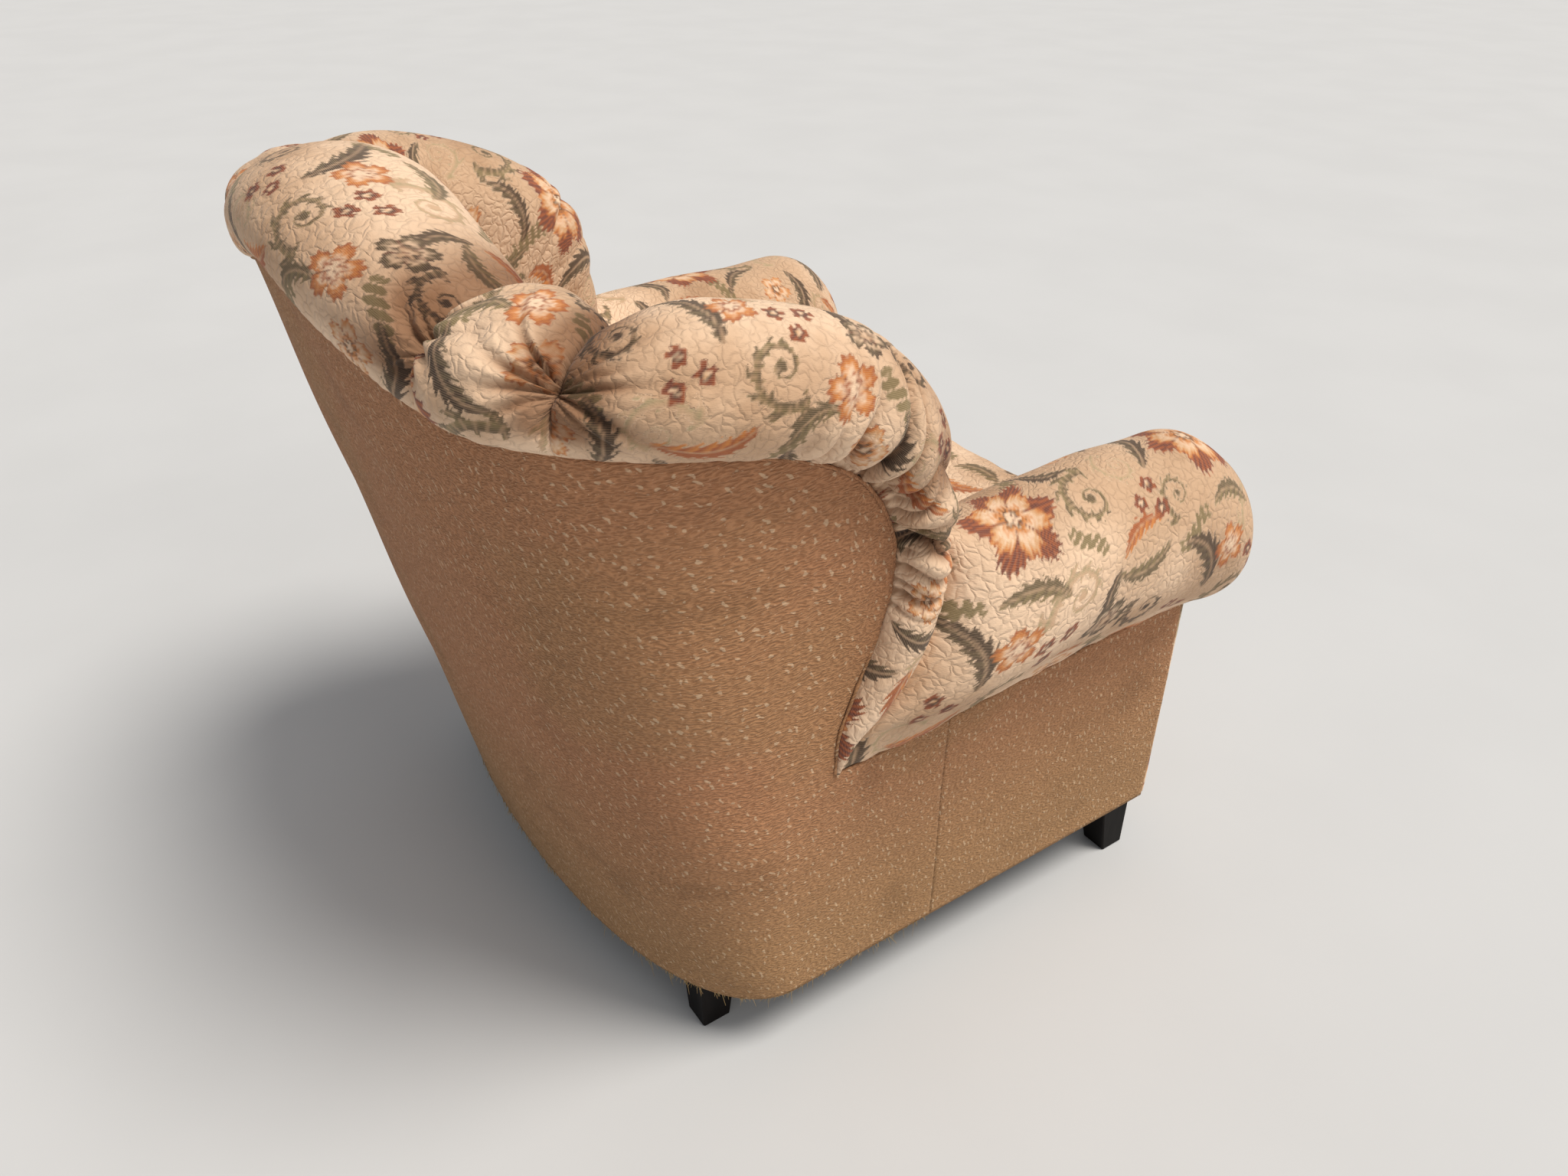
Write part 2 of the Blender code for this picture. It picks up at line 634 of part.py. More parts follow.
def padded_panel(name, low, high, depth, finish):
    """A facing or border, stuffed a little towards the front."""
    back_y = PANEL_FRONT_Y - FIT
    shape = bmesh.new()
    bmesh.ops.create_cube(shape, size=1.0)
    for vertex in shape.verts:
        vertex.co = (low[0] + (high[0] - low[0]) * (vertex.co.x + 0.5),
                     back_y - depth * (0.5 - vertex.co.y),
                     low[1] + (high[1] - low[1]) * (vertex.co.z + 0.5))
    edges = [edge for edge in shape.edges
             if all(vertex.co.y < back_y - depth / 2 for vertex in edge.verts)]
    bmesh.ops.bevel(shape, geom=edges, offset=depth * 0.6, segments=2, profile=0.5,
                    affect="EDGES", material=-1)
    return from_bmesh(name, shape, finish, smooth=True)


def tapered_leg(name, outer_x, outer_y, towards_back, finish):
    """A square block leg, straight on its outer faces and tapered on its inner ones."""
    shape = bmesh.new()
    bmesh.ops.create_cube(shape, size=1.0)
    for vertex in shape.verts:
        width = LEG_TOP_WIDTH if vertex.co.z > 0 else LEG_FOOT_WIDTH
        x = outer_x + width * (vertex.co.x + 0.5)
        share = vertex.co.y - 0.5 if towards_back else vertex.co.y + 0.5
        y = outer_y + width * share
        vertex.co = (x, y, LEG_HEIGHT * (vertex.co.z + 0.5))
    bmesh.ops.bevel(shape, geom=shape.edges, offset=0.0015, segments=1, profile=0.5,
                    affect="EDGES", material=-1)
    return from_bmesh(name, shape, finish)


def wing_board(name, finish, rows=12, columns=6):
    """The shaped timber of a wing, standing on the seat rails."""
    along = np.linspace(SEAM_END, VALLEYS[1], 80)
    line = np.array([station_at(length)[:2] for length in along])
    line = line[np.argsort(line[:, 1])]
    rear = POST_PLACE + POST_WIDTH / 2 + FIT + 0.030
    top = station_at(rear)[1] - WING_BOARD_INSET - 0.012
    depth = BOARD_DEPTH + 0.0025
    loops = []
    for row in range(rows + 1):
        height = top - (top - RAIL_TOP_Z - FIT) * (1 - row / rows) ** 1.8
        lead = np.interp(height + WING_BOARD_INSET, line[:, 1], line[:, 0]) - WING_BOARD_INSET
        places = [rear + (lead - rear) * i / columns for i in range(columns + 1)]
        loops.append([shell(place, height, depth) for place in places]
                     + [shell(place, height, depth + BOARD_THICKNESS - 0.003)
                        for place in reversed(places)])
    return loft(name, loops, finish)


POST_PLACE = 0.268  # middle of a back post, round the plan


def frame(timber):
    rail_back = side_place(0.085)
    pair(lambda name: band(name, rail_back + FIT, FRONT - FIT, RAIL_Z, RAIL_TOP_Z, BOARD_DEPTH,
                           BOARD_THICKNESS, timber), "seat_rail")
    band("back_seat_rail", -rail_back, rail_back, RAIL_Z, RAIL_TOP_Z, BOARD_DEPTH,
         BOARD_THICKNESS, timber, rows=2)
    inner_x = FRAME_X - BOARD_THICKNESS - FIT
    front_y = PANEL_FRONT_Y + FIT
    box("front_seat_rail", (-inner_x, front_y, RAIL_Z),
        (inner_x, front_y + BOARD_THICKNESS, RAIL_TOP_Z), timber, bevel=EASED_EDGE)
    block_y = front_y + BOARD_THICKNESS + FIT
    pair(lambda name: box(name, (-inner_x + FIT, block_y, RAIL_Z),
                          (-inner_x + FIT + CORNER_BLOCK, block_y + CORNER_BLOCK,
                           RAIL_TOP_Z - 0.012), timber, bevel=EASED_EDGE), "front_corner_block")
    pair(lambda name: band(name, TURN - 0.075, TURN - 0.075 + CORNER_BLOCK, RAIL_Z,
                           RAIL_TOP_Z - 0.012, BOARD_DEPTH + BOARD_THICKNESS + SHELL_FIT,
                           BLOCK_DEPTH, timber), "rear_corner_block")
    pair(lambda name: band(name, POST_PLACE - POST_WIDTH / 2, POST_PLACE + POST_WIDTH / 2,
                           RAIL_TOP_Z + FIT, TOP_RAIL_Z[0] - FIT, BOARD_DEPTH, BOARD_THICKNESS,
                           timber, rows=6), "back_post")
    reach = POST_PLACE + POST_WIDTH / 2 + 0.028
    band("top_back_rail", -reach, reach, *TOP_RAIL_Z, BOARD_DEPTH, BOARD_THICKNESS, timber)
    inside = POST_PLACE - POST_WIDTH / 2 - FIT
    band("back_stuff_rail", -inside, inside, *BACK_STUFF_RAIL_Z, BOARD_DEPTH, BOARD_THICKNESS,
         timber)
    pair(wing_board, "wing_board", timber)
    board_z = ARM_BOARD_TOP_Z - BOARD_THICKNESS
    board_rear = np.interp(ARM_BOARD_TOP_Z, *wing_front_line().T) - 0.006
    pair(lambda name: box(name, (-FRAME_X, PANEL_FRONT_Y + 0.006, board_z),
                          (-FRAME_X + ARM_BOARD_WIDTH, board_rear, ARM_BOARD_TOP_Z), timber,
                          bevel=EASED_EDGE), "arm_board")
    stump_y = (PANEL_FRONT_Y + 0.008, board_rear - 0.008 - STUMP_WIDTH)
    for title, y in zip(("front_arm_stump", "rear_arm_stump"), stump_y):
        pair(lambda name, y=y: box(name, (-FRAME_X, y, RAIL_TOP_Z + FIT),
                                   (-FRAME_X + STUMP_WIDTH, y + STUMP_WIDTH, board_z - FIT),
                                   timber, bevel=EASED_EDGE), title)
    rail_x = -FRAME_X + STUMP_WIDTH + FIT
    pair(lambda name: box(name, (rail_x, PANEL_FRONT_Y + 0.008, ARM_STUFF_RAIL_Z[0]),
                          (rail_x + BOARD_THICKNESS, 0.030, ARM_STUFF_RAIL_Z[1]), timber,
                          bevel=EASED_EDGE), "arm_stuff_rail")


def legs(stained):
    rear_x = -HALF_WIDTH + LEG_REAR_INSET
    pair(tapered_leg, "rear_leg", rear_x, LEG_REAR_Y, True, stained)
    pair(tapered_leg, "front_leg", -HALF_WIDTH + LEG_FRONT_INSET,
         PANEL_FRONT_Y + LEG_FRONT_SETBACK, False, stained)


def strips_within(room):
    """How many strips of webbing, spaced evenly from the middle, lie within the room beside it."""
    return 2 * int((room - WEB_WIDTH / 2) / WEB_PITCH) + 1


def web_lines(count):
    """Both edges of each strip of webbing."""
    lines = []
    for i in range(count):
        middle = (i - (count - 1) / 2) * WEB_PITCH
        lines += [middle - WEB_WIDTH / 2, middle + WEB_WIDTH / 2]
    return lines


def seat_webbing(jute):
    side = HALF_WIDTH - COVER_THICKNESS - 0.006
    xs = [-side] + web_lines(strips_within(side)) + [side]
    front = PANEL_FRONT_Y + 0.006
    strips_y = strips_within(SPRING_FIELD_Y - front)
    ys = [front] + [SPRING_FIELD_Y + line for line in web_lines(strips_y)] + [1.0]

    def place_point(u, v):
        x = xs[u]
        rear = np.interp(-abs(x), PLAN_X[::-1], PLAN_Y[::-1]) - COVER_THICKNESS - 0.010
        y = min(ys[v], rear - 0.006 * (len(ys) - 1 - v))
        return (x, y, WEBBING_Z + WEBBING_THICKNESS)

    def gap(u, v):
        return u % 2 == 0 and v % 2 == 0

    return lattice("seat_webbing", len(xs) - 1, len(ys) - 1, place_point, gap, jute,
                   np.array((0.0, 0.0, -9.0)))


def back_webbing(jute):
    places = web_lines(BACK_WEB_STRIPS)
    low, high = BACK_STUFF_RAIL_Z[0] + 0.006, TOP_RAIL_Z[1] - 0.006
    middle = (low + high) / 2
    strips_up = strips_within((high - low) / 2)
    heights = [low] + [middle + line for line in web_lines(strips_up)] + [high]
    ends = POST_PLACE + POST_WIDTH / 2 - 0.004
    places = [-ends] + [max(-ends + 0.002, min(ends - 0.002, place)) for place in places] + [ends]

    def place_point(u, v):
        return shell(places[u], heights[v], WEB_DEPTH)

    return lattice("back_webbing", len(places) - 1, len(heights) - 1, place_point,
                   lambda u, v: u % 2 == 0 and v % 2 == 0, jute, np.array((0.0, -3.0, 0.5)))


def lattice(name, columns, rows, place_point, gap, finish, away_from):
    """Crossed strips made from a grid by taking out the openings between them."""
    shape = mapped_grid(columns, rows, lambda u, v: (u, v, 0.0))
    openings = [face for face in shape.faces
                if gap(int(face.calc_center_median().x), int(face.calc_center_median().y))]
    bmesh.ops.delete(shape, geom=openings, context="FACES")
    for vertex in shape.verts:
        vertex.co = place_point(round(vertex.co.x), round(vertex.co.y))
    shape.normal_update()
    face_away(shape, away_from)
    return solid_sheet(name, shape, WEBBING_THICKNESS, finish)


def back_canvas(hessian):
    """The cloth stretched over the back's webbing, behind the stuffing."""
    reach = POST_PLACE + POST_WIDTH / 2 - 0.004
    stops = plan_stops(-reach, reach)
    low, high = BACK_STUFF_RAIL_Z[0] + 0.004, TOP_RAIL_Z[1] - 0.004

    def place_point(u, v):
        return shell(stops[u], low + (high - low) * v / 6, CANVAS_DEPTH)

    shape = mapped_grid(len(stops) - 1, 6, place_point)
    shape.normal_update()
    face_away(shape, np.array((0.0, -3.0, 0.5)))
    return solid_sheet("back_canvas", shape, CANVAS_THICKNESS, hessian)


def seat_canvas(hessian):
    side = ARM_INNER_X - 0.006
    low_y, high_y = PANEL_FRONT_Y + 0.008, 0.060
    return box("seat_canvas", (-side, low_y, SEAT_CANVAS_Z),
               (side, high_y, SEAT_CANVAS_Z + CANVAS_THICKNESS), hessian)


def dust_cover(cloth):
    places = plan_stops(-(FRONT - 0.006), FRONT - 0.006)
    outline = [shell(place, HEM_Z, 0.010)[:2] for place in places]
    loops = [[(x, y, z) for x, y in outline]
             for z in (DUST_COVER_Z, DUST_COVER_Z + DUST_COVER_THICKNESS)]
    return loft("dust_cover", loops, cloth)


def coil_spring(name, x, y, steel):
    """A waisted seat spring, from the webbing to the canvas."""
    bottom = WEBBING_Z + WEBBING_THICKNESS + FIT + SPRING_WIRE
    top = SEAT_CANVAS_Z - FIT - SPRING_WIRE
    steps = 24
    curve = bpy.data.curves.new(name, "CURVE")
    curve.dimensions = "3D"
    curve.bevel_depth = SPRING_WIRE
    curve.bevel_resolution = 2
    curve.use_fill_caps = True
    line = curve.splines.new("POLY")
    line.points.add(steps)
    for i, point in enumerate(line.points):
        share = i / steps
        rise = ease(share * 1.15 - 0.075)
        radius = SPRING_WAIST + (SPRING_RADIUS - SPRING_WAIST) * abs(2 * share - 1) ** 1.4
        angle = 2 * math.pi * SPRING_TURNS * share
        point.co = (x + radius * math.cos(angle), y + radius * math.sin(angle),
                    bottom + (top - bottom) * rise, 1.0)
    return put_in_scene(name, curve, steel)


def stand_over_origin():
    """Hang every piece from an empty that puts the middle of the chair over the origin."""
    things = list(bpy.data.collections[COLLECTION].objects)
    depths = [vertex.co.y for thing in things if thing.type == "MESH"
              for vertex in thing.data.vertices]
    middle = bpy.data.objects.new("chair_middle", None)
    middle.location.y = -(min(depths) + max(depths)) / 2
    bpy.data.collections[COLLECTION].objects.link(middle)
    for thing in things:
        thing.parent = middle


def main():
    clear_scene()
    collection = bpy.data.collections.new(COLLECTION)
    bpy.context.scene.collection.children.link(collection)
    floral = material("floral_cloth", (0.60, 0.50, 0.38), 0.85)
    plush = material("plush_cloth", (0.40, 0.31, 0.20), 0.9)
    timber = material("beech", (0.55, 0.38, 0.22), 0.6)
    stained = material("stained_wood", (0.03, 0.025, 0.02), 0.4)
    jute = material("jute_webbing", (0.50, 0.38, 0.24), 0.95)
    hessian = material("hessian", (0.45, 0.34, 0.21), 0.95)
    cambric = material("black_cambric", (0.03, 0.03, 0.03), 0.95)
    steel = material("spring_steel", (0.35, 0.33, 0.30), 0.4, 1.0)

    centre_channel(10, floral)
    pair(pad_run, "corner_channel", VALLEYS[0], VALLEYS[1], 9, floral)
    pair(pad_run, "wing", VALLEYS[1], SEAM_END, 44, floral)
    pair(arm_pad, "arm_pad", floral)
    seat_pad(floral)
    facing_top = arm_underside(PANEL_FRONT_Y - FIT - FACING_DEPTH) - PAD_FIT
    pair(lambda name: padded_panel(name, (-HALF_WIDTH - 0.001, HEM_Z),
                                   (-ARM_INNER_X - FIT, facing_top), FACING_DEPTH, floral),
         "arm_facing")
    padded_panel("front_border", (-ARM_INNER_X + FIT, HEM_Z), (ARM_INNER_X - FIT, BORDER_TOP_Z),
                 BORDER_DEPTH, floral)
    outside_back_cover(plush)
    pair(outside_arm_cover, "outside_arm_cover", plush)
    frame(timber)
    legs(stained)
    seat_webbing(jute)
    back_webbing(jute)
    back_canvas(hessian)
    seat_canvas(hessian)
    dust_cover(cambric)
    for row, y in enumerate((-1, 0, 1)):
        for column, x in enumerate((-1, 0, 1)):
            coil_spring(f"seat_spring_{3 * row + column + 1}", x * SPRING_PITCH,
                        SPRING_FIELD_Y + y * SPRING_PITCH, steel)
    stand_over_origin()


main()
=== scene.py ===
# %% [markdown]
# # A sagging wing armchair, from plain solids to worn cloth
#
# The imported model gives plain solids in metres, with +Z up and the sitter facing -Y. This lesson
# dresses them. Back, wings, arms and outside become fine grids laid over the curves that shaped
# the solids, and the seat and the front panels become softened copies. Folds are moved in by rule,
# and the cloth's figures are formulas that a shader breaks into stitches.

import json
import math

import bmesh
import bpy
import numpy as np
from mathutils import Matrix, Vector


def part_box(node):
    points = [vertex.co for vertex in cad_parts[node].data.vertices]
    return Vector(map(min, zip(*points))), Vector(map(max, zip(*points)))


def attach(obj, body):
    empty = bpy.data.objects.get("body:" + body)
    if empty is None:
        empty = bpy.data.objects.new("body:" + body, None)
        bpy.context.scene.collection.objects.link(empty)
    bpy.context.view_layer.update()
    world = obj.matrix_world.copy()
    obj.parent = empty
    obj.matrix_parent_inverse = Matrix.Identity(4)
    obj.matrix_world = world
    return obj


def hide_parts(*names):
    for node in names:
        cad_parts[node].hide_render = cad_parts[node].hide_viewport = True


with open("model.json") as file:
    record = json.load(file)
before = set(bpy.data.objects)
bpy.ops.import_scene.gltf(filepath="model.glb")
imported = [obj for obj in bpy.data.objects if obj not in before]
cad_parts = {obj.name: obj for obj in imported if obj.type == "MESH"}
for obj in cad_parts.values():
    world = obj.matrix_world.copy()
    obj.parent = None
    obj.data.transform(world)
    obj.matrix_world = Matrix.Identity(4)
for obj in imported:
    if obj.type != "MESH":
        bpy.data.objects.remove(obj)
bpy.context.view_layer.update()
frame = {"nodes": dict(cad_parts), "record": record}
nodes = frame["nodes"]

# %% [markdown]
# ## The curves that the upholsterer worked to
#
# The outside of the chair is one curved wall. A place on it is given by the distance round the
# plan from the middle of the back, and by its height. Tracing the model's mesh would give the same
# wall, but a formula also says which way it faces, and how far along it any point of cloth lies.

# %% The plan and lean of the outside
HALF_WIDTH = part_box("right_outside_arm_cover")[0].x * -1
SIDE_LENGTH = 0.5425
ROUND_START_Y = 0.1135  # in the chairmaker's own frame, before the chair was centred
ROUND_DEPTH, ROUND_POWER = 0.146, 2.2
BACK_RAKE, LEAN_FORE, LEAN_AFT = 0.190, 0.0666, 0.0888
PANEL_FRONT_Y = ROUND_START_Y - SIDE_LENGTH
CENTRE_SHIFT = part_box("right_outside_arm_cover")[0].y - PANEL_FRONT_Y
HEM_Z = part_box("outside_back_cover")[0].z
LEG_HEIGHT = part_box("right_rear_leg")[1].z


def running_total(steps):
    return np.insert(np.cumsum(steps), 0, 0.0)


angle = np.linspace(0, math.pi / 2, 721)
PLAN_X = np.append(-HALF_WIDTH * np.sin(angle) ** (2 / ROUND_POWER), -HALF_WIDTH)
PLAN_Y = np.append(ROUND_START_Y + ROUND_DEPTH * np.cos(angle) ** (2 / ROUND_POWER), PANEL_FRONT_Y)
PLAN_FAR = running_total(np.hypot(np.diff(PLAN_X), np.diff(PLAN_Y)))
TURN, FRONT = PLAN_FAR[-2], PLAN_FAR[-1]
print("round the back:", round(TURN * 2, 3), "m, shift to the centre:", round(CENTRE_SHIFT, 4))


# %% Points on the outside wall
def ease(x):
    """A smooth step from 0 to 1."""
    x = np.clip(x, 0.0, 1.0)
    return x * x * (3 - 2 * x)


def outward(place):
    """Horizontal direction that the outside faces."""
    near, reach = abs(place), 0.004
    low, high = max(near - reach, 0.0), min(near + reach, FRONT)
    dx = np.interp(high, PLAN_FAR, PLAN_X) - np.interp(low, PLAN_FAR, PLAN_X)
    dy = np.interp(high, PLAN_FAR, PLAN_Y) - np.interp(low, PLAN_FAR, PLAN_Y)
    if near < 1e-6:
        dx, dy = -1.0, 0.0
    long = math.hypot(dx, dy)
    return np.array((dy / long if place >= 0 else -dy / long, -dx / long, 0.0))


def shell(place, height, depth=0.0):
    """A point on the outside wall, or at a depth inside it."""
    x = np.interp(abs(place), PLAN_FAR, PLAN_X) * (1 if place >= 0 else -1)
    y = np.interp(abs(place), PLAN_FAR, PLAN_Y)
    lean = ease((y - ROUND_START_Y + LEAN_FORE) / (LEAN_FORE + LEAN_AFT))
    return np.array((x, y + lean * BACK_RAKE * (height - HEM_Z), height)) - outward(place) * depth


print("top of the back wall:", shell(0.0, 0.80).round(3))

# %% [markdown]
# ## The seam round the top
#
# The back pads and the wings hang on one long seam. Each station along it says where the seam is,
# how far the stuffed roll stands out, up and across there, and where the pad meets the seat.
# A smooth curve through the stations gives the section of the pads at any length along the seam.

# %% Stations along the seam
STATIONS = np.array((
    (0.000, 0.732, 0.016, 0.088, 0.172, 0.000, 0.1350),
    (0.132, 0.704, 0.020, 0.092, 0.170, -0.130, 0.1300),
    (0.252, 0.676, 0.025, 0.090, 0.165, -0.205, 0.1120),
    (0.312, 0.673, 0.032, 0.094, 0.160, -0.232, 0.0960),
    (0.370, 0.667, 0.034, 0.096, 0.156, -0.252, 0.0780),
    (0.432, 0.647, 0.044, 0.110, 0.156, -0.262, 0.0765),
    (0.484, 0.610, 0.046, 0.114, 0.158, -0.268, 0.0745),
    (0.521, 0.570, 0.045, 0.100, 0.156, -0.272, 0.0725),
    (0.544, 0.520, 0.042, 0.070, 0.150, -0.275, 0.0700),
    (0.543, 0.470, 0.038, 0.066, 0.144, -0.277, 0.0675),
    (0.530, 0.420, 0.034, 0.062, 0.136, -0.278, 0.0645),
    (0.508, 0.366, 0.026, 0.048, 0.124, -0.278, 0.0610),
    (0.494, 0.325, 0.016, 0.028, 0.116, -0.278, 0.0580),
    (0.490, 0.276, 0.004, 0.006, 0.112, -0.278, 0.0540),
))
STATIONS[:, 1] += LEG_HEIGHT
VALLEYS = (0.255, 0.373)
SEAM_KNOTS = running_total(np.hypot(*np.diff(STATIONS[:, :2], axis=0).T))
SEAM_END, SHOULDER = SEAM_KNOTS[-1], SEAM_KNOTS[8]
CHANNEL_DEPTH, WING_SHOULDER, WING_TURN = 0.030, 0.085, 0.11
BACK_FOOT_Z, PAD_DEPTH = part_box("centre_channel")[0].z, 0.0400
OPPOSITE = np.array((-1, 1, 1, 1, 1, -1, 1))
all_knots = np.concatenate((-SEAM_KNOTS[:0:-1], SEAM_KNOTS))
all_rows = np.concatenate((STATIONS[:0:-1] * OPPOSITE, STATIONS))
all_slopes = np.gradient(all_rows, all_knots, axis=0)


def curve(u, start, leaving, end, arriving):
    """A smooth curve from start to end, with its direction given at both."""
    return ((2 * u**3 - 3 * u**2 + 1) * start + (u**3 - 2 * u**2 + u) * leaving
            + (3 * u**2 - 2 * u**3) * end + (u**3 - u**2) * arriving)


def station_at(along):
    """Place, height, outward reach, rise and width of the roll, and x and y of the pad's foot."""
    along = min(max(along, all_knots[0]), all_knots[-1])
    i = min(int(np.searchsorted(all_knots, along, side="right")) - 1, len(all_knots) - 2)
    span = all_knots[i + 1] - all_knots[i]
    return curve((along - all_knots[i]) / span, all_rows[i], span * all_slopes[i],
                 all_rows[i + 1], span * all_slopes[i + 1])


print("seam length of one half:", round(SEAM_END, 3), "m")

# %% [markdown]
# ## A helper that lays a grid over a curve
#
# Blender's grid operator makes the faces. Every vertex is then moved to its place in an array of
# points, and a second array, of lengths, becomes the UV map, in metres of real cloth. Sculpting a
# remeshed copy would also work, but it loses the UV map that the woven flowers need.

# %% Grid and object helpers
def cloth_grid(points, lengths, close=False, crease=None):
    """A bmesh grid laid over points[column, row], with its UV map in metres."""
    columns, rows = points.shape[0] - 1, points.shape[1] - 1
    shape = bmesh.new()
    layer = shape.loops.layers.uv.new("cloth")
    # the crease layer holds painted shade, partly soil, that darkens the cloth in folds and beside
    # seams
    soil_and_shade = shape.verts.layers.float.new("crease")
    bmesh.ops.create_grid(shape, x_segments=columns, y_segments=rows, size=0.5)
    spots = {}
    for vertex in shape.verts:
        u = round((vertex.co.x + 0.5) * columns)
        v = round((vertex.co.y + 0.5) * rows)
        spots[vertex] = (u, v)
        vertex.co = points[u, v]
        if crease is not None:
            vertex[soil_and_shade] = crease[u, v]
    for face in shape.faces:
        for loop in face.loops:
            loop[layer].uv = lengths[spots[loop.vert]]
    if close:
        bmesh.ops.remove_doubles(shape, verts=shape.verts, dist=0.00005)
        rims = [edge for edge in shape.edges if edge.is_boundary]
        bmesh.ops.edgeloop_fill(shape, edges=rims)
        bmesh.ops.recalc_face_normals(shape, faces=shape.faces)
    return shape


def mesh_from(name, shape):
    """A mesh from a bmesh, which is used up."""
    mesh = bpy.data.meshes.new(name)
    shape.to_mesh(mesh)
    shape.free()
    return mesh


def put_in_scene(name, data):
    made = bpy.data.objects.new(name, data)
    bpy.context.scene.collection.objects.link(made)
    return made


def finish_piece(name, shape, finish, replaced=()):
    """Turn a bmesh into a piece of the chair, in its place under the centred frame."""
    bmesh.ops.translate(shape, vec=(0, CENTRE_SHIFT, 0), verts=shape.verts)
    name = name + "_cloth" if replaced else name
    mesh = mesh_from(name, shape)
    mesh.shade_smooth()
    mesh.materials.append(finish)
    piece = put_in_scene(name, mesh)
    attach(piece, "root")
    if replaced:
        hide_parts(*replaced)
    print(name, len(mesh.polygons), "faces")
    return piece


def stepped(line, shares):
    """Points of a line at these shares of its length."""
    far = running_total(np.linalg.norm(np.diff(line, axis=0), axis=1))
    return np.stack([np.interp(far[-1] * shares, far, line[:, i]) for i in range(3)], axis=1)


def run_lengths(points):
    """Length of cloth along the columns and along the rows of a grid of points."""
    along = np.linalg.norm(np.diff(points, axis=0), axis=2).mean(axis=1)
    across = np.linalg.norm(np.diff(points, axis=1), axis=2)
    u = running_total(along)
    v = np.concatenate((np.zeros((points.shape[0], 1)), np.cumsum(across, axis=1)), axis=1)
    return np.stack((np.broadcast_to(u[:, None], v.shape), v), axis=2)


def surface_normals(points):
    """The direction that a grid faces at each of its points."""
    across = np.gradient(points, axis=0)
    down = np.gradient(points, axis=1)
    normal = np.cross(across, down)
    return normal / np.maximum(np.linalg.norm(normal, axis=2), 1e-9)[:, :, None]


# %% [markdown]
# ## Creases and gathers
#
# Cloth that is pulled into a short seam folds at right angles to it. Each fold is a narrow groove
# that starts deep at the stitches and fades over the stuffing, wandering a little on the way. A
# cloth simulation makes such folds too, but where they fall is chance, and here their places are
# known, so they are set out one by one from a seeded list.

# %% A set of folds that fade from a seam
def folds(position, distance, low, high, pitch, depth, reach, seed, width=0.30):
    """Depth of grooves along a seam. position runs along the seam, distance away from it."""
    chance = np.random.default_rng(seed)
    pull = np.zeros_like(position)
    spot = low + pitch * chance.random()
    while spot < high:
        size = chance.uniform(0.35, 1.0) ** 1.2
        far = reach * chance.uniform(0.55, 1.25)
        drift = chance.normal(0, 0.22) * distance + 0.004 * np.sin(distance * 40 + chance.random() * 6)
        wide = pitch * width * chance.uniform(0.8, 1.3) * (1 + 1.6 * distance / far)
        gap = (position - spot - drift) / wide
        groove = np.exp(-np.abs(gap) ** 1.5 * 1.3) - 0.35 * np.exp(-(np.abs(gap) - 1.7) ** 2 * 1.5)
        edge = ease((spot - low) / pitch / 1.5 + 0.3) * ease((high - spot) / pitch / 1.5 + 0.3)
        pull += depth * size * edge * groove * np.exp(-(distance / far) ** 1.6)
        spot += pitch * chance.uniform(0.6, 1.5)
    return pull


DARK_LINE = 0.0030  # half the width of the shaded line in a crease


def gathers(position, distance, low, high, pitch, depth, reach, seed):
    """Depth and shading of sharp creases, where a long edge is drawn into a short seam."""
    chance = np.random.default_rng(seed)
    spaces = pitch * chance.uniform(0.45, 1.6, int((high - low) / pitch) + 4)
    creases = low - 0.2 * pitch + np.cumsum(spaces)
    creases = creases[creases < high + pitch]
    numbers = np.arange(len(creases))
    strength = depth * chance.uniform(0.40, 1.0, len(creases))
    far = reach * chance.uniform(0.5, 1.3, len(creases))
    wander = position + 0.0035 * np.sin(distance * 55 + position * 60 + seed)
    wander = wander + distance * 0.22 * np.sin(position * 38 + seed)
    order = np.interp(wander, creases, numbers)
    share = order % 1
    round_top = (4 * share * (1 - share)) ** 0.8
    deep = np.interp(order, numbers, strength)
    fade = np.exp(-(distance / np.interp(order, numbers, far)) ** 1.7)
    ends = ease((position - low) / (2 * pitch)) * ease((high - position) / (2 * pitch))
    shaded = np.exp(-(np.minimum(share, 1 - share) * pitch / DARK_LINE) ** 2) * deep / depth
    return deep * fade * ends * (1 - round_top), shaded * fade * ends


print("one fold at its seam:", round(float(folds(np.array(0.02), np.array(0.0), 0, 0.04, 0.02,
                                                  0.004, 0.05, 3)), 4))

# %% [markdown]
# ## Drawing the woven figures
#
# The cover is a tapestry with scrolling leaves and flowers in a repeat. A picture texture would be
# the usual way, and a large tree of shader nodes another. Here each figure is a formula on the
# places of the cloth's own UV map, and the result is kept as a colour for every point of the mesh.
# The grids are fine enough for that, and the shader then breaks each outline into stitches.

# %% Colours and size of the repeat
REPEAT = (0.290, 0.350)
CREAM, SAND = np.array((0.79, 0.57, 0.395)), np.array((0.57, 0.375, 0.235))
ORANGE, RUST, WINE = np.array(((0.58, 0.210, 0.050), (0.34, 0.090, 0.032), (0.15, 0.042, 0.030)))
OLIVE, MOSS, PEAT = np.array(((0.23, 0.175, 0.085), (0.130, 0.096, 0.054), (0.062, 0.040, 0.027)))
PALE_OLIVE, BLUSH = np.array((0.38, 0.30, 0.17)), np.array((0.64, 0.38, 0.20))
STITCH = (0.0013, 0.0008)  # width and height of one woven stitch


def step_up(value, low, high):
    return ease((value - low) / (high - low))


def between(first, second, share):
    return first + (second - first) * np.asarray(share)[..., None]


print("repeat of the cloth:", REPEAT, "m")


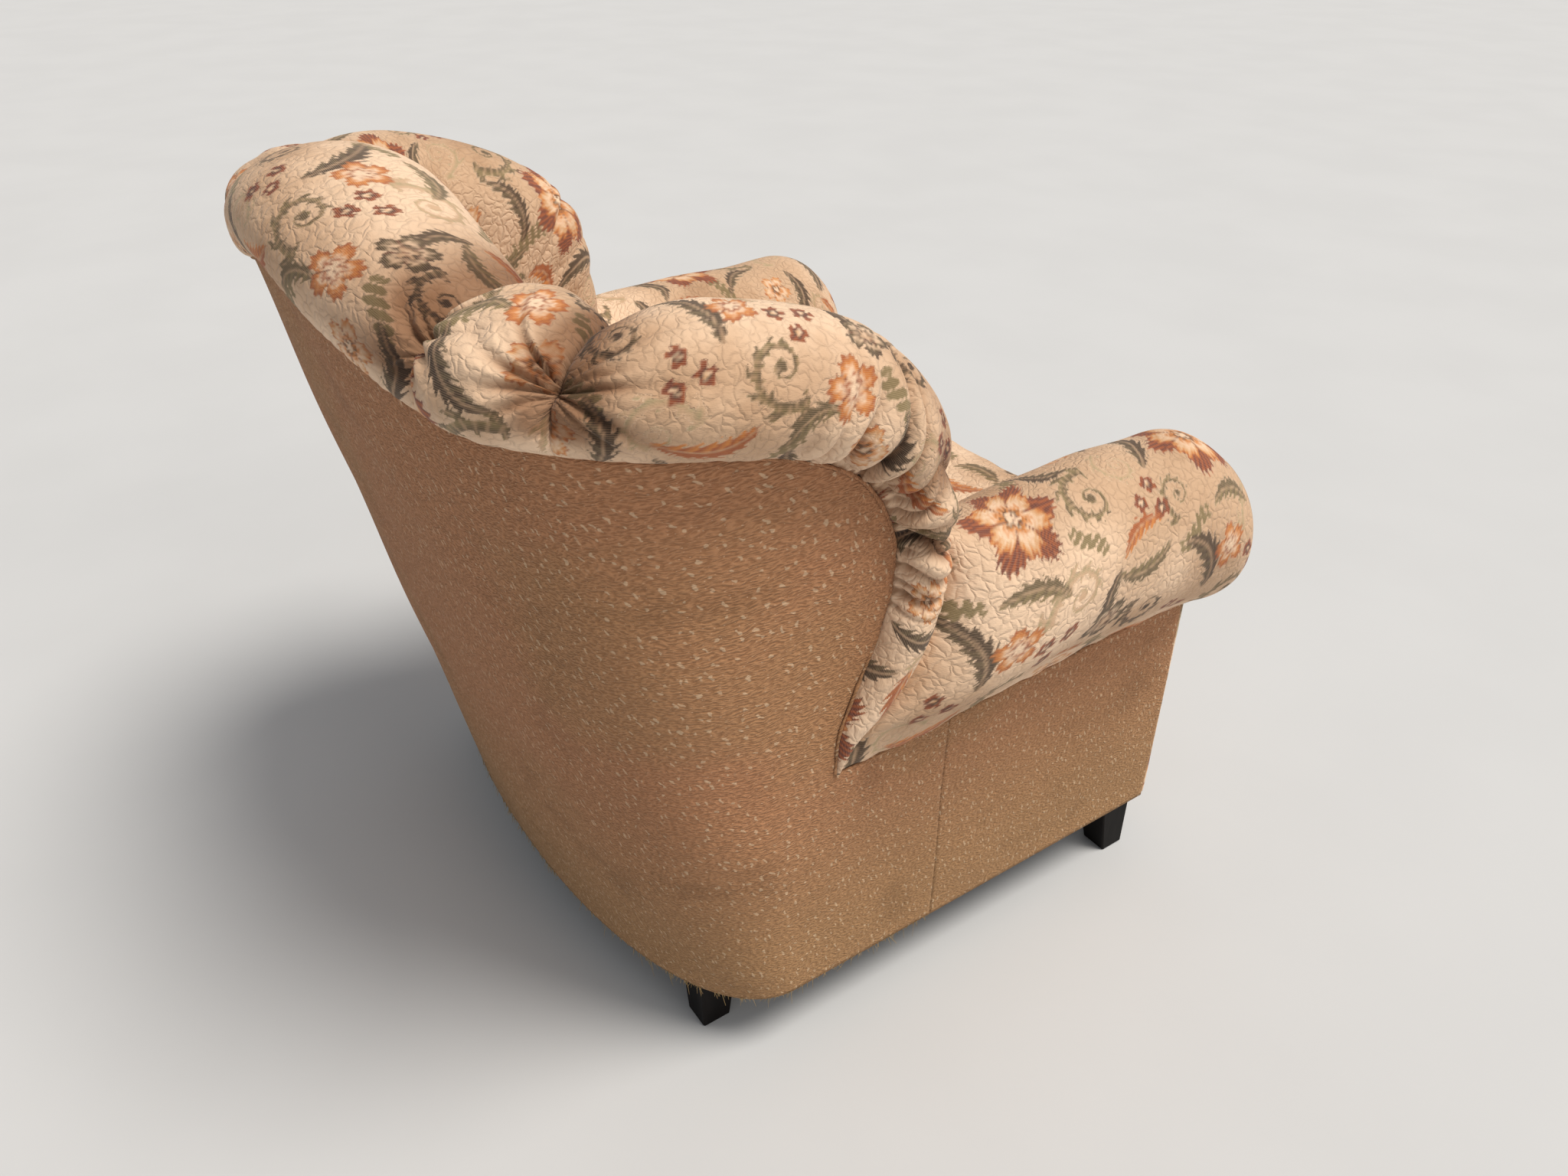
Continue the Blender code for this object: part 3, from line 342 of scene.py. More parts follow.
# %% The figures
class Pattern:
    """Colour and cover of the woven figures at a list of places on the cloth."""

    def __init__(self, places):
        x, y = places[:, 0], places[:, 1]
        self.x = x + 0.006 * np.sin(9 * x + 17 * y) + 0.003 * np.sin(31 * y - 12 * x)
        self.y = y + 0.006 * np.sin(13 * x - 8 * y) + 0.003 * np.sin(27 * x + 14 * y)
        self.colour = np.tile(CREAM, (len(places), 1))
        self.cover = np.zeros(len(places))

    def unit(self, centre, size, turn):
        """Coordinates about a figure's centre, repeated with the tile, 1 at the figure's edge."""
        far_x = (self.x - centre[0] + REPEAT[0] / 2) % REPEAT[0] - REPEAT[0] / 2
        far_y = (self.y - centre[1] + REPEAT[1] / 2) % REPEAT[1] - REPEAT[1] / 2
        c, s = math.cos(math.radians(turn)) / size, math.sin(math.radians(turn)) / size
        return c * far_x + s * far_y, c * far_y - s * far_x

    def lay(self, inside, tone):
        self.colour = between(self.colour, tone, inside)
        self.cover = np.maximum(self.cover, inside)

    def plume(self, centre, size, turn, light, dark, bend=0.42, fat=0.17, barb=0.20):
        """A feathery leaf: slanting barbs off a pale vein, one side darker."""
        x, y = self.unit(centre, size, turn)
        off = y - bend * x * x + 0.28 * bend
        barbs = (3.6 * x - 3.2 * np.abs(off)) % 1
        wide = np.clip(1 - x * x, 0, 1) ** 0.7 * (fat + barb * barbs)
        inside = step_up(wide - np.abs(off), -0.02, 0.04) * (np.abs(x) < 1)
        tone = between(dark, light, step_up(barbs, 0.1, 0.9) * (1 - 0.8 * step_up(-off, -0.02, 0.03)))
        self.lay(inside, between(tone, SAND, 0.6 * step_up(-np.abs(off), -0.05, -0.01)))

    def scroll(self, centre, size, turn, light, dark, hand=1, leaflets=7):
        """An acanthus scroll: leaflets off the outer side of a stem that winds in on itself."""
        tighten = 0.20
        for k in range(leaflets):
            swing = 0.2 + 0.62 * k
            reach = size * math.exp(-tighten * swing)
            aim = math.radians(turn) + hand * swing
            root = (centre[0] + 1.12 * reach * math.cos(aim), centre[1] + 1.12 * reach * math.sin(aim))
            self.plume(root, 0.50 * reach, math.degrees(aim) + hand * 50, light, dark, 0.5 * hand, 0.18)
        x, y = self.unit(centre, size, turn)
        round_it, far = np.arctan2(hand * y, x) % (2 * np.pi), np.hypot(x, y)
        turns = (-np.log(np.maximum(far, 0.01)) / tighten - round_it) / (2 * np.pi)
        spine = np.exp(-tighten * (round_it + 2 * np.pi * np.clip(np.round(turns), 0, 1)))
        off = (far - spine) / (0.13 * spine + 0.02)
        inside = step_up(1 - np.abs(off), -0.15, 0.25)
        tone = between(dark, light, step_up(off, -0.7, 0.8))
        self.lay(inside, between(tone, SAND, 0.5 * step_up(np.sin(round_it * 26), 0.2, 0.9)))
        self.lay(step_up(0.16 - far, 0, 0.04), dark)

    def bloom(self, centre, size, turn, petals, tones, backing=None):
        """An open flower: toothed leaves behind, notched petals drawn in strokes, a pale eye."""
        x, y = self.unit(centre, size, turn)
        round_it, far = np.arctan2(y, x), np.hypot(x, y)
        strokes = np.sin(round_it * petals * 9 + far * 5)
        if backing is not None:
            spikes = np.abs(np.cos(round_it * petals / 2 + 0.5)) ** 1.5
            reach = 0.74 + 0.46 * spikes + 0.24 * (round_it * petals * 1.3 % 1)
            self.lay(step_up(reach - far, -0.02, 0.05), between(*backing, step_up(strokes, -0.2, 0.6)))
        lobe = np.abs(np.sin(round_it * petals / 2))
        edge = 0.48 + 0.48 * lobe**0.6 + 0.07 * np.sin(round_it * petals * 4)
        share = far / edge
        knots = [knot for knot, _ in tones]
        tone = np.stack([np.interp(share + 0.07 * strokes, knots, [t[i] for _, t in tones])
                         for i in range(3)], axis=1)
        tone = between(WINE, tone, 0.25 + 0.75 * step_up(lobe, 0.04, 0.30))
        self.lay(step_up(1 - share, -0.04, 0.05), tone)

    def sprig(self, centre, size, turn, tone):
        """A thin twig with pairs of small leaves."""
        x, y = self.unit(centre, size, turn)
        off = y - 0.25 * np.sin(2.4 * x)
        self.lay(step_up(0.045 - np.abs(off), -0.02, 0.02) * (np.abs(x) < 1), tone)
        leaves = 0.30 * np.abs(np.sin(x * 9)) ** 0.8 * np.clip(1.05 - np.abs(x), 0, 1) ** 0.4
        self.lay(step_up(leaves - np.abs(np.abs(off) - 0.15), 0.0, 0.06) * (np.abs(x) < 1), tone)


# %% Where the figures stand in the repeat
WARM = ((0.0, CREAM), (0.15, CREAM), (0.22, PEAT), (0.34, ORANGE), (0.58, CREAM), (0.78, BLUSH),
        (0.92, ORANGE), (1.0, RUST))
AMBER = ((0.0, CREAM), (0.24, CREAM), (0.34, RUST), (0.48, CREAM), (0.70, ORANGE), (1.0, RUST))
DUSK = ((0.0, CREAM), (0.26, SAND), (0.34, PEAT), (0.52, CREAM), (0.74, MOSS), (1.0, PEAT))
RED = ((0.0, BLUSH), (0.24, CREAM), (0.36, PEAT), (0.54, WINE), (0.78, RUST), (1.0, WINE))


def woven_figures(places):
    """Colour and cover of the whole repeat at these places."""
    cloth = Pattern(places)
    pale, grey, deep, flame = (PALE_OLIVE, SAND), (OLIVE, MOSS), (MOSS, PEAT), (ORANGE, RUST)
    for x, y, size, turn, hand in ((0.020, 0.190, 0.034, 20, 1), (0.150, 0.335, 0.036, 200, -1),
                                   (0.262, 0.095, 0.030, 110, 1)):
        cloth.scroll((x, y), size, turn, *pale, hand)
    for x, y, size, turn in ((0.130, 0.165, 0.030, 40), (0.245, 0.225, 0.030, -60),
                             (0.025, 0.345, 0.028, 10), (0.165, 0.035, 0.026, 120)):
        cloth.sprig((x, y), size, turn, OLIVE)
    for x, y, size, turn, tones, hand in (
            (0.195, 0.075, 0.040, 60, grey, 1), (0.120, 0.245, 0.036, -50, grey, -1),
            (0.270, 0.275, 0.030, 150, deep, 1), (0.012, 0.035, 0.026, 240, grey, -1)):
        cloth.scroll((x, y), size, turn, *tones, hand)
    for x, y, size, turn, tones in (
            (0.022, 0.115, 0.048, 75, deep), (0.165, 0.140, 0.042, -35, deep),
            (0.050, 0.310, 0.050, 130, deep), (0.240, 0.330, 0.040, 10, grey),
            (0.150, 0.200, 0.034, 215, grey), (0.268, 0.180, 0.042, 95, deep),
            (0.100, 0.012, 0.040, 170, grey), (0.200, 0.310, 0.032, -80, deep),
            (0.062, 0.178, 0.046, 15, flame), (0.235, 0.020, 0.036, 200, flame)):
        cloth.plume((x, y), size, turn, *tones)
    cloth.bloom((0.095, 0.090), 0.046, 12, 6, WARM, (WINE, RUST))
    for x, y, size, turn, tones in ((0.212, 0.278, 0.026, 30, DUSK), (0.190, 0.226, 0.029, 0, AMBER),
                                    (0.226, 0.174, 0.027, 50, WARM), (0.090, 0.310, 0.026, 70, AMBER)):
        cloth.bloom((x, y), size, turn, 5, tones)
    for x, y, turn in ((0.040, 0.240, 0), (0.265, 0.045, 60), (0.140, 0.288, 30)):
        for third in range(3):
            aim = math.radians(turn + 120 * third)
            cloth.bloom((x + 0.016 * math.cos(aim), y + 0.016 * math.sin(aim)), 0.0115, turn, 5, RED)
    return np.concatenate((cloth.colour, cloth.cover[:, None]), axis=1)


def weave_in(piece):
    """Keep the woven figures as a colour for each point of a piece."""
    mesh = piece.data
    at_corner = np.empty(len(mesh.loops) * 2, np.float32)
    mesh.uv_layers["cloth"].data.foreach_get("uv", at_corner)
    points = np.empty(len(mesh.loops), np.int32)
    mesh.loops.foreach_get("vertex_index", points)
    places = np.zeros((len(mesh.vertices), 2))
    places[points] = at_corner.reshape(-1, 2)
    figures = mesh.attributes.new("figures", "FLOAT_COLOR", "POINT")
    figures.data.foreach_set("color", woven_figures(places).astype(np.float32).ravel())


sample = woven_figures(np.random.default_rng(1).uniform(0, 1, (4000, 2)))
print("share of the cloth under figures:", round(float(sample[:, 3].mean()), 2))

# %% [markdown]
# ## Tapestry finish
#
# The shader puts the figures on a cream ground. Their outlines are broken stitch by stitch, and the
# ground between them is puckered into small pebble shapes, as a double cloth is, with painted shade
# in the grooves. Creases, valleys and seams get painted shade, partly soil, and a slow stain carries
# the soil of years.

# %% Short calls for shader nodes
class Dyer:
    """Adds and joins shader nodes for one finish."""

    def __init__(self, name):
        self.finish = bpy.data.materials.new(name)
        self.finish.use_nodes = True
        self.tree = self.finish.node_tree
        self.shader = self.tree.nodes["Principled BSDF"]

    def node(self, kind, **settings):
        made = self.tree.nodes.new(kind)
        for key, value in settings.items():
            setattr(made, key, value)
        return made

    def feed(self, socket, value):
        if isinstance(value, bpy.types.NodeSocket):
            self.tree.links.new(value, socket)
        elif hasattr(socket.default_value, "__len__"):
            value = tuple(value)
            socket.default_value = value + (1.0,) if len(socket.default_value) > len(value) else value
        else:
            socket.default_value = value

    def fed(self, kind, *values, **settings):
        """The first output of a node whose inputs are fed in order."""
        made = self.node(kind, **settings)
        for socket, value in zip(made.inputs, values):
            self.feed(socket, value)
        return made.outputs[0]

    def maths(self, operation, *values):
        return self.fed("ShaderNodeMath", *values, operation=operation)

    def times(self, first, second):
        return self.maths("MULTIPLY", first, second)

    def vector(self, operation, *values):
        return self.fed("ShaderNodeVectorMath", *values, operation=operation)

    def join(self, x, y):
        return self.fed("ShaderNodeCombineXYZ", x, y)

    def soft_step(self, value, low, high):
        return self.fed("ShaderNodeMapRange", value, low, high, 0.0, 1.0,
                        interpolation_type="SMOOTHSTEP")

    def blend(self, share, first, second, mode="MIX"):
        made = self.node("ShaderNodeMix", data_type="RGBA", blend_type=mode)
        self.feed(made.inputs[0], share)
        self.feed(made.inputs[6], first)
        self.feed(made.inputs[7], second)
        return made.outputs[2]

    def stain(self, colour, mask, share, tone, mode="MULTIPLY"):
        """Lay a tone over a colour where a mask is 1, up to a share."""
        return self.blend(self.times(mask, share), colour, tone, mode)

    def noise(self, where, scale, detail=2.0, rough=0.5, flat=True, output=0):
        made = self.node("ShaderNodeTexNoise", noise_dimensions="2D" if flat else "3D")
        self.feed(made.inputs["Vector"], where)
        self.feed(made.inputs["Scale"], scale)
        self.feed(made.inputs["Detail"], detail)
        self.feed(made.inputs["Roughness"], rough)
        return made.outputs[output]

    def stray(self, where, scale, reach):
        """A wandering offset, to bend a pattern off its straight lines."""
        cloud = self.noise(where, scale, 1.0, output="Color")
        return self.vector("MULTIPLY", self.vector("SUBTRACT", cloud, (0.5, 0.5, 0.5)),
                           (reach, reach, 0.0))

    def parts(self, where):
        """The x and y of a place."""
        made = self.node("ShaderNodeSeparateXYZ")
        self.feed(made.inputs[0], where)
        return made.outputs[0], made.outputs[1]

    def bump(self, height, strength, distance, under=None):
        made = self.node("ShaderNodeBump")
        self.feed(made.inputs["Height"], height)
        self.feed(made.inputs["Strength"], strength)
        self.feed(made.inputs["Distance"], distance)
        if under:
            self.feed(made.inputs["Normal"], under)
        return made.outputs[0]

    def set(self, **values):
        for key, value in values.items():
            self.feed(self.shader.inputs[key.replace("_", " ")], value)


# %% The tapestry finish
def woven_tapestry():
    dye = Dyer("floral_tapestry")
    uv = dye.node("ShaderNodeUVMap", uv_map="cloth").outputs[0]
    x, y = dye.parts(uv)
    ground = dye.blend(dye.soft_step(dye.noise(uv, 3.5, 3.0), 0.35, 0.68), CREAM, SAND)
    figures = dye.node("ShaderNodeAttribute", attribute_name="figures").outputs
    cell = dye.join(dye.maths("FLOOR", dye.maths("DIVIDE", x, STITCH[0])),
                    dye.maths("FLOOR", dye.maths("DIVIDE", y, STITCH[1])))
    chance = dye.node("ShaderNodeTexWhiteNoise", noise_dimensions="2D")
    dye.feed(chance.inputs["Vector"], cell)
    ragged = dye.maths("MULTIPLY_ADD", dye.maths("SUBTRACT", chance.outputs["Value"], 0.5), 0.55,
                       figures["Alpha"])
    drawn = dye.soft_step(ragged, 0.40, 0.62)
    threads = dye.soft_step(dye.maths("SINE", dye.times(y, math.pi / STITCH[1])), 0.0, 0.8)
    shown = dye.times(drawn, dye.maths("MULTIPLY_ADD", threads, -0.22, 1.0))
    colour = dye.blend(shown, ground, figures["Color"])
    pebbles = dye.node("ShaderNodeTexVoronoi", voronoi_dimensions="2D", feature="DISTANCE_TO_EDGE")
    dye.feed(pebbles.inputs["Vector"], dye.vector("ADD", uv, dye.stray(uv, 75.0, 0.014)))
    pebbles.inputs["Scale"].default_value = 96.0
    pillow = dye.maths("SQRT", dye.soft_step(pebbles.outputs["Distance"], 0.0, 0.36))
    patchy = dye.soft_step(dye.noise(uv, 45.0, 1.0), 0.36, 0.62)
    # painted shade in the grooves round each pebble, where the pillowed bump sinks, in patches and off
    # the figures
    line = dye.times(dye.soft_step(pebbles.outputs["Distance"], 0.09, 0.0), patchy)
    line = dye.times(line, dye.maths("SUBTRACT", 1.0, drawn))
    colour = dye.stain(colour, line, 0.14, (0.34, 0.22, 0.13), "MIX")
    # painted shade, partly soil, from the crease layer: darker in folds, valleys and beside seams
    fold = dye.node("ShaderNodeAttribute", attribute_name="crease").outputs["Fac"]
    colour = dye.stain(colour, dye.soft_step(fold, 0.06, 0.85), 0.85, (0.34, 0.23, 0.16))
    # slow random patches of soil; the painted shade is laid on with the crease layer just above
    soil_and_shade = dye.soft_step(dye.noise(uv, 6.0, 4.0, 0.6), 0.48, 0.74)
    colour = dye.stain(colour, soil_and_shade, 0.42, (0.50, 0.36, 0.23))
    weave = dye.noise(dye.vector("MULTIPLY", uv, (300.0, 900.0, 1.0)), 1.0, 1.0)
    flat = dye.times(pillow, dye.maths("MULTIPLY_ADD", drawn, -0.75, 1.0))
    height = dye.bump(flat, 0.60, 0.0017)
    dye.set(Base_Color=colour, Normal=dye.bump(weave, 0.40, 0.0008, height),
            Roughness=0.86, Specular_IOR_Level=0.25, Sheen_Weight=0.08, Sheen_Roughness=0.5)
    return dye.finish


tapestry = woven_tapestry()
print("tapestry nodes:", len(tapestry.node_tree.nodes))

# %% [markdown]
# ## Ribbed plush
#
# The outside is a short plush with fine wavy ribs across it and pale comma-shaped flecks. Ribs are
# a stretched noise, with painted shade in their troughs, and flecks are the middles of stretched
# cells. The colour fades to gold near the hem, and in slow patches where hands and sun have worn
# it. Hair would give real pile, but at this distance a pile of a millimetre only shows as shading.

# %% The plush finish
def ribbed_plush():
    dye = Dyer("plush_cover")
    uv = dye.node("ShaderNodeUVMap", uv_map="cloth").outputs[0]
    x, y = dye.parts(uv)
    bend = dye.times(dye.noise(uv, 70.0, 1.0), 4.0)
    stretched = dye.join(dye.times(x, 250.0), dye.maths("MULTIPLY_ADD", y, 560.0, bend))
    ribs = dye.noise(stretched, 1.0, 1.0, 0.4)
    flecks = dye.node("ShaderNodeTexVoronoi", voronoi_dimensions="2D", feature="F1")
    slant = dye.join(dye.maths("MULTIPLY_ADD", y, 0.25, x), dye.times(y, 0.50))
    dye.feed(flecks.inputs["Vector"], dye.vector("ADD", slant, dye.stray(uv, 150.0, 0.0045)))
    flecks.inputs["Scale"].default_value = 128.0
    fleck = dye.soft_step(flecks.outputs["Distance"], 0.18, 0.10)
    chosen = dye.soft_step(dye.parts(flecks.outputs["Color"])[0], 0.24, 0.34)
    fleck = dye.times(fleck, chosen)
    warm, gold = (0.425, 0.206, 0.104), (0.385, 0.222, 0.104)
    low = dye.times(dye.soft_step(y, 0.34, 0.02), 0.9)
    worn = dye.times(dye.soft_step(dye.noise(uv, 4.0, 3.0), 0.42, 0.66), 0.45)
    colour = dye.blend(dye.maths("MAXIMUM", low, worn), warm, gold)
    # painted shade: the troughs of the ribs, where their bump sinks, are darkened
    colour = dye.blend(dye.soft_step(ribs, 0.62, 0.35), colour,
                       dye.blend(0.44, colour, (0.40, 0.32, 0.25), "MULTIPLY"))
    colour = dye.stain(colour, fleck, 0.48, (0.72, 0.54, 0.36), "MIX")
    grime = dye.soft_step(dye.noise(uv, 9.0, 4.0, 0.65), 0.55, 0.75)
    colour = dye.stain(colour, grime, 0.30, (0.45, 0.42, 0.38))
    lint = dye.soft_step(dye.noise(uv, 420.0, 1.0), 0.74, 0.80)
    colour = dye.stain(colour, lint, 0.35, CREAM, "MIX")
    raised = dye.bump(ribs, 1.0, 0.0024)
    dye.set(Base_Color=colour, Normal=dye.bump(fleck, 0.35, 0.0008, raised), Roughness=0.92,
            Specular_IOR_Level=0.2, Sheen_Weight=0.12, Sheen_Roughness=0.45,
            Sheen_Tint=(0.95, 0.70, 0.50))
    return dye.finish


plush = ribbed_plush()
print("plush nodes:", len(plush.node_tree.nodes))

# %% [markdown]
# ## Back pads and wings
#
# A section runs from the seam out over the roll and down the inside face to the seat. Sections are
# taken every few millimetres along the seam, and the points of each stand closer near the seam,
# where the folds are finest. The grid is then sunk into the valleys between channels and gathered.
# Sculpting brushes would do the same by hand, but no size could then be changed afterwards.

# %% One section of a pad
FOOT_DIRECTION = np.array((0.0, -0.15, -1.0))
CLOSER_AT_SEAM, BACK_POINTS, ROLL_MIDDLE, PROBE = 1.25, 6, 0.38, 0.003


def pad_line(along, rows):
    """Points of a pad's section, from the seam over the roll to the foot, then up the back."""
    place, seam_z, out, high, wide, foot_x, foot_y = station_at(along)
    here, normal = shell(place, seam_z), outward(place)
    before, after = station_at(along - PROBE), station_at(along + PROBE)
    run = shell(after[0], after[1]) - shell(before[0], before[1])
    run -= normal * run.dot(normal)
    run /= np.linalg.norm(run)
    up = np.cross(run, normal)
    if up[2] * max(0.2, 0.9 - abs(along)) + up[1] * -0.3 < 0:
        up = -up
    middle = ROLL_MIDDLE * high
    turn = np.linspace(0, math.pi / 2, 9)[:-1, None]
    rise = here + normal * (out * np.sin(turn)) + up * (middle * (1 - np.cos(turn)))
    turn = np.linspace(0, math.pi, 37)[:, None]
    arc = (here + normal * (out - wide / 2 + wide / 2 * np.cos(turn))
           + up * (middle + (high - middle) * np.sin(turn)))
    foot = np.array((foot_x, foot_y, BACK_FOOT_Z))
    reach = np.linalg.norm(foot - arc[-1])
    u = np.linspace(0, 1, 33)[1:, None]
    face = curve(u, arc[-1], -up * reach, foot, FOOT_DIRECTION * reach)
    front = stepped(np.concatenate((rise, arc, face)), np.linspace(0, 1, rows + 1) ** CLOSER_AT_SEAM)
    forward = ease((abs(along) - VALLEYS[1]) / WING_TURN)
    own_place = math.copysign(TURN + ROUND_START_Y - foot_y, place)
    back_low = shell(place + (own_place - place) * forward, BACK_FOOT_Z, PAD_DEPTH)
    back_high = here - normal * PAD_DEPTH + up * 0.0024
    back = back_low + (back_high - back_low) * np.linspace(0, 1, BACK_POINTS)[:, None]
    return np.concatenate((front, back, front[:1]))


def fullness(along, low, high, wing):
    """1 in the middle of a channel, falling to 0 in the valleys beside it."""
    if wing:
        share = np.minimum((np.abs(along) - VALLEYS[1]) / WING_SHOULDER, 1.0)
    else:
        share = np.minimum(along - low, high - along) / ((high - low) / 2)
    return np.sqrt(np.maximum(1 - (1 - np.clip(share, 0, 1)) ** 2.4, 0.0))


print("points of one section:", len(pad_line(0.0, 60)))

# %% Stuff and gather a pad
PINCH = 0.088  # from the seam to the stitched-down point of a valley
STITCHED, TACKED = 0.045, 0.05  # how far the seam and the foot hold the cloth down
PUCKERS_END = 0.70
# start, end, pitch, depth and reach of the gathers at the wing's corner
CORNER_GATHERS = [(0.43, PUCKERS_END, 0.0120, 0.0090, 0.050),
                  (0.45, PUCKERS_END, 0.0230, 0.0230, 0.110), (0.48, 0.68, 0.0400, 0.0200, 0.220)]


def stuffed_pad(name, low, high, columns, rows, wing=False, seed=1):
    stops = np.linspace(low, high, columns + 1)
    points = np.array([pad_line(along, rows) for along in stops])
    front = points[:, :rows + 1]
    lengths = run_lengths(points)
    crown = np.linalg.norm(np.diff(front[:, rows // 12:rows // 2], axis=0), axis=2)
    lengths[:, :, 0] = running_total(np.quantile(crown, 0.8, axis=1))[:, None]
    lengths += np.random.default_rng(seed).uniform(0, 0.3, 2)
    normal = surface_normals(front)
    centre = front.mean(axis=(0, 1))
    if (normal[:, :rows // 3] * (front[:, :rows // 3] - centre)).sum() < 0:
        normal = -normal
    s = np.abs(stops)[:, None] + 0 * lengths[:, :rows + 1, 1]
    v = lengths[:, :rows + 1, 1] - lengths[:, :1, 1]
    signed = stops[:, None] + 0 * v
    grip = ease(v / STITCHED) * ease((v[:, -1:] - v) / TACKED)
    push = -CHANNEL_DEPTH * (1 - fullness(signed, low, high, wing)) * grip
    # small puckers all along the seam, then the deep gathers of the wing's corner
    drawn_in = [(s.min(), min(s.max(), PUCKERS_END), 0.015, 0.0028, 0.024)]
    shaded = 0 * v
    for number, gather in enumerate(drawn_in + (CORNER_GATHERS if wing else [])):
        depth, lines = gathers(s, v, *gather, seed + number)
        push -= depth
        shaded = np.maximum(shaded, lines * min(1.0, 0.30 + 0.45 * number))
    # the pinch in each valley, with folds that fan out from it
    for valley in VALLEYS:
        for edge in (-valley, valley):
            if abs(low - edge) < 1e-6 or abs(high - edge) < 1e-6:
                away = np.abs(signed - edge)
                free = ease(away / 0.003)
                fan = PINCH + (v - PINCH) / (0.45 + away / 0.040)
                push -= folds(fan, away, PINCH - 0.035, PINCH + 0.035, 0.0125, 0.0085, 0.040,
                              seed + 7, width=0.22) * free
                push -= folds(v, away, 0.15, 0.46, 0.036, 0.0035, 0.030, seed + 8) * free
                push -= 0.012 * np.exp(-((v - PINCH) / 0.018) ** 2 - (away / 0.016) ** 2)
    push *= 0.12 + 0.88 * ease(v / 0.010)
    push += 0.0012 * np.sin(v * 31 + s * 23) * grip
    points[:, :rows + 1] = front + normal * push[:, :, None]
    points[:, -1] = points[:, 0]
    # painted shade, partly soil: the crease layer darkens the valleys, the shaded lines of the gathers
    # and the cloth beside the seam
    crease = np.zeros(points.shape[:2])
    crease[:, :rows + 1] = (np.maximum(np.clip(-push / 0.016, 0, 1) * grip, shaded)
                            + 0.8 * (1 - ease(v / 0.006)))
    shape = cloth_grid(points, lengths, close=True, crease=crease)
    piece = finish_piece(name, shape, tapestry, [name])
    weave_in(piece)
    return piece


stuffed_pad("centre_channel", -VALLEYS[0], VALLEYS[0], 240, 270, seed=11)
for side, title in ((1, "right"), (-1, "left")):
    ends = sorted((side * VALLEYS[0], side * VALLEYS[1]))
    stuffed_pad(f"{title}_corner_channel", *ends, 84, 270, seed=21 + side)
    ends = sorted((side * VALLEYS[1], side * SEAM_END))
    stuffed_pad(f"{title}_wing", *ends, 400, 230, wing=True, seed=41 + side)

# %% [markdown]
# ## Arms
#
# An arm's cover starts at the seam under the outside of the roll, goes over the roll, and drops
# down the inside to the seat. In front of the timber the roll closes into a soft, drooping nose.
# The grid's sections follow that path, and closing sections at the nose shrink to its tip. One
# lofted grid keeps the flowers unbroken from the arm into the nose, as on the real cover.

# %% Sizes of the arms
ARM_ROLL_X, ARM_ROLL_Z = 0.372, LEG_HEIGHT + 0.414
ARM_ROLL_WIDE, ARM_ROLL_HIGH = 0.087, 0.098
ARM_INNER_X, ARM_NOSE_LENGTH, ARM_ROUNDING = 0.277, 0.046, 0.034
ARM_DROOP, ARM_DROOP_LENGTH, ARM_SEAM_FRONT_Z = 0.030, 0.059, LEG_HEIGHT + 0.296
ARM_REAR_Y, SEAM_RUNS_BACK = -0.03, 0.11
TUCKED_IN = 0.022  # how far the cover runs on inside the wing
OUTER_X, OUTER_FADE = -0.350, 0.03  # outside of this, the cover meets the groove beside the tail
SWELL_LENGTH = 0.12
ARM_ROWS, ARM_SECTIONS, NOSE_SECTIONS = 230, 190, 46
ROLL_POINTS, ROLL_ROWS = 66, 150
INNER_PAD_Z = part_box("right_arm_pad")[0].z
REAR_OF_SEAM = ROUND_START_Y - (STATIONS[-1][0] - TURN)


def arm_seam_z(y):
    """Height of the seam under the roll."""
    share = (REAR_OF_SEAM - y) / (REAR_OF_SEAM - PANEL_FRONT_Y)
    return STATIONS[-1][1] + (ARM_SEAM_FRONT_Z - STATIONS[-1][1]) * share


def arm_roll_at(y):
    """Centre of the roll and its share of the full size, which ends in the nose."""
    into = max(0.0, (PANEL_FRONT_Y + ARM_ROUNDING - y) / (ARM_NOSE_LENGTH + ARM_ROUNDING))
    size = math.sqrt(max(1 - into**2.2, 0.0004))
    droop = ease((PANEL_FRONT_Y + ARM_DROOP_LENGTH - y) / (ARM_NOSE_LENGTH + ARM_DROOP_LENGTH))
    low_rear = 0.010 * ease((y + 0.22) / 0.2)
    return ARM_ROLL_X + 0.012 * (1 - size), ARM_ROLL_Z - ARM_DROOP * droop - low_rear, size


wing_lines = np.array([p for s in np.linspace(SHOULDER - 0.10, SEAM_END, 60)
                       for p in pad_line(s, 60)[:61]])
line_z = np.arange(STATIONS[-1][1], ARM_ROLL_Z + ARM_ROLL_HIGH + 0.02, 0.01)
line_y = np.array([wing_lines[np.abs(wing_lines[:, 2] - z) < 0.012][:, 1].min() for z in line_z])
tail = np.array([station_at(s)[:4] for s in np.linspace(SEAM_END, SHOULDER, 40)])
tail_place, tail_z, tail_wide = tail[:, 0], tail[:, 1], tail[:, 3]
tail_seam_y = ROUND_START_Y - (tail_place - TURN)
print("foremost point of the wing at the arm's top:", round(float(line_y[-1]), 3))


# %% Lay the cover over an arm
ARM_CLOTH_THICK = 0.010  # the cover with its wadding


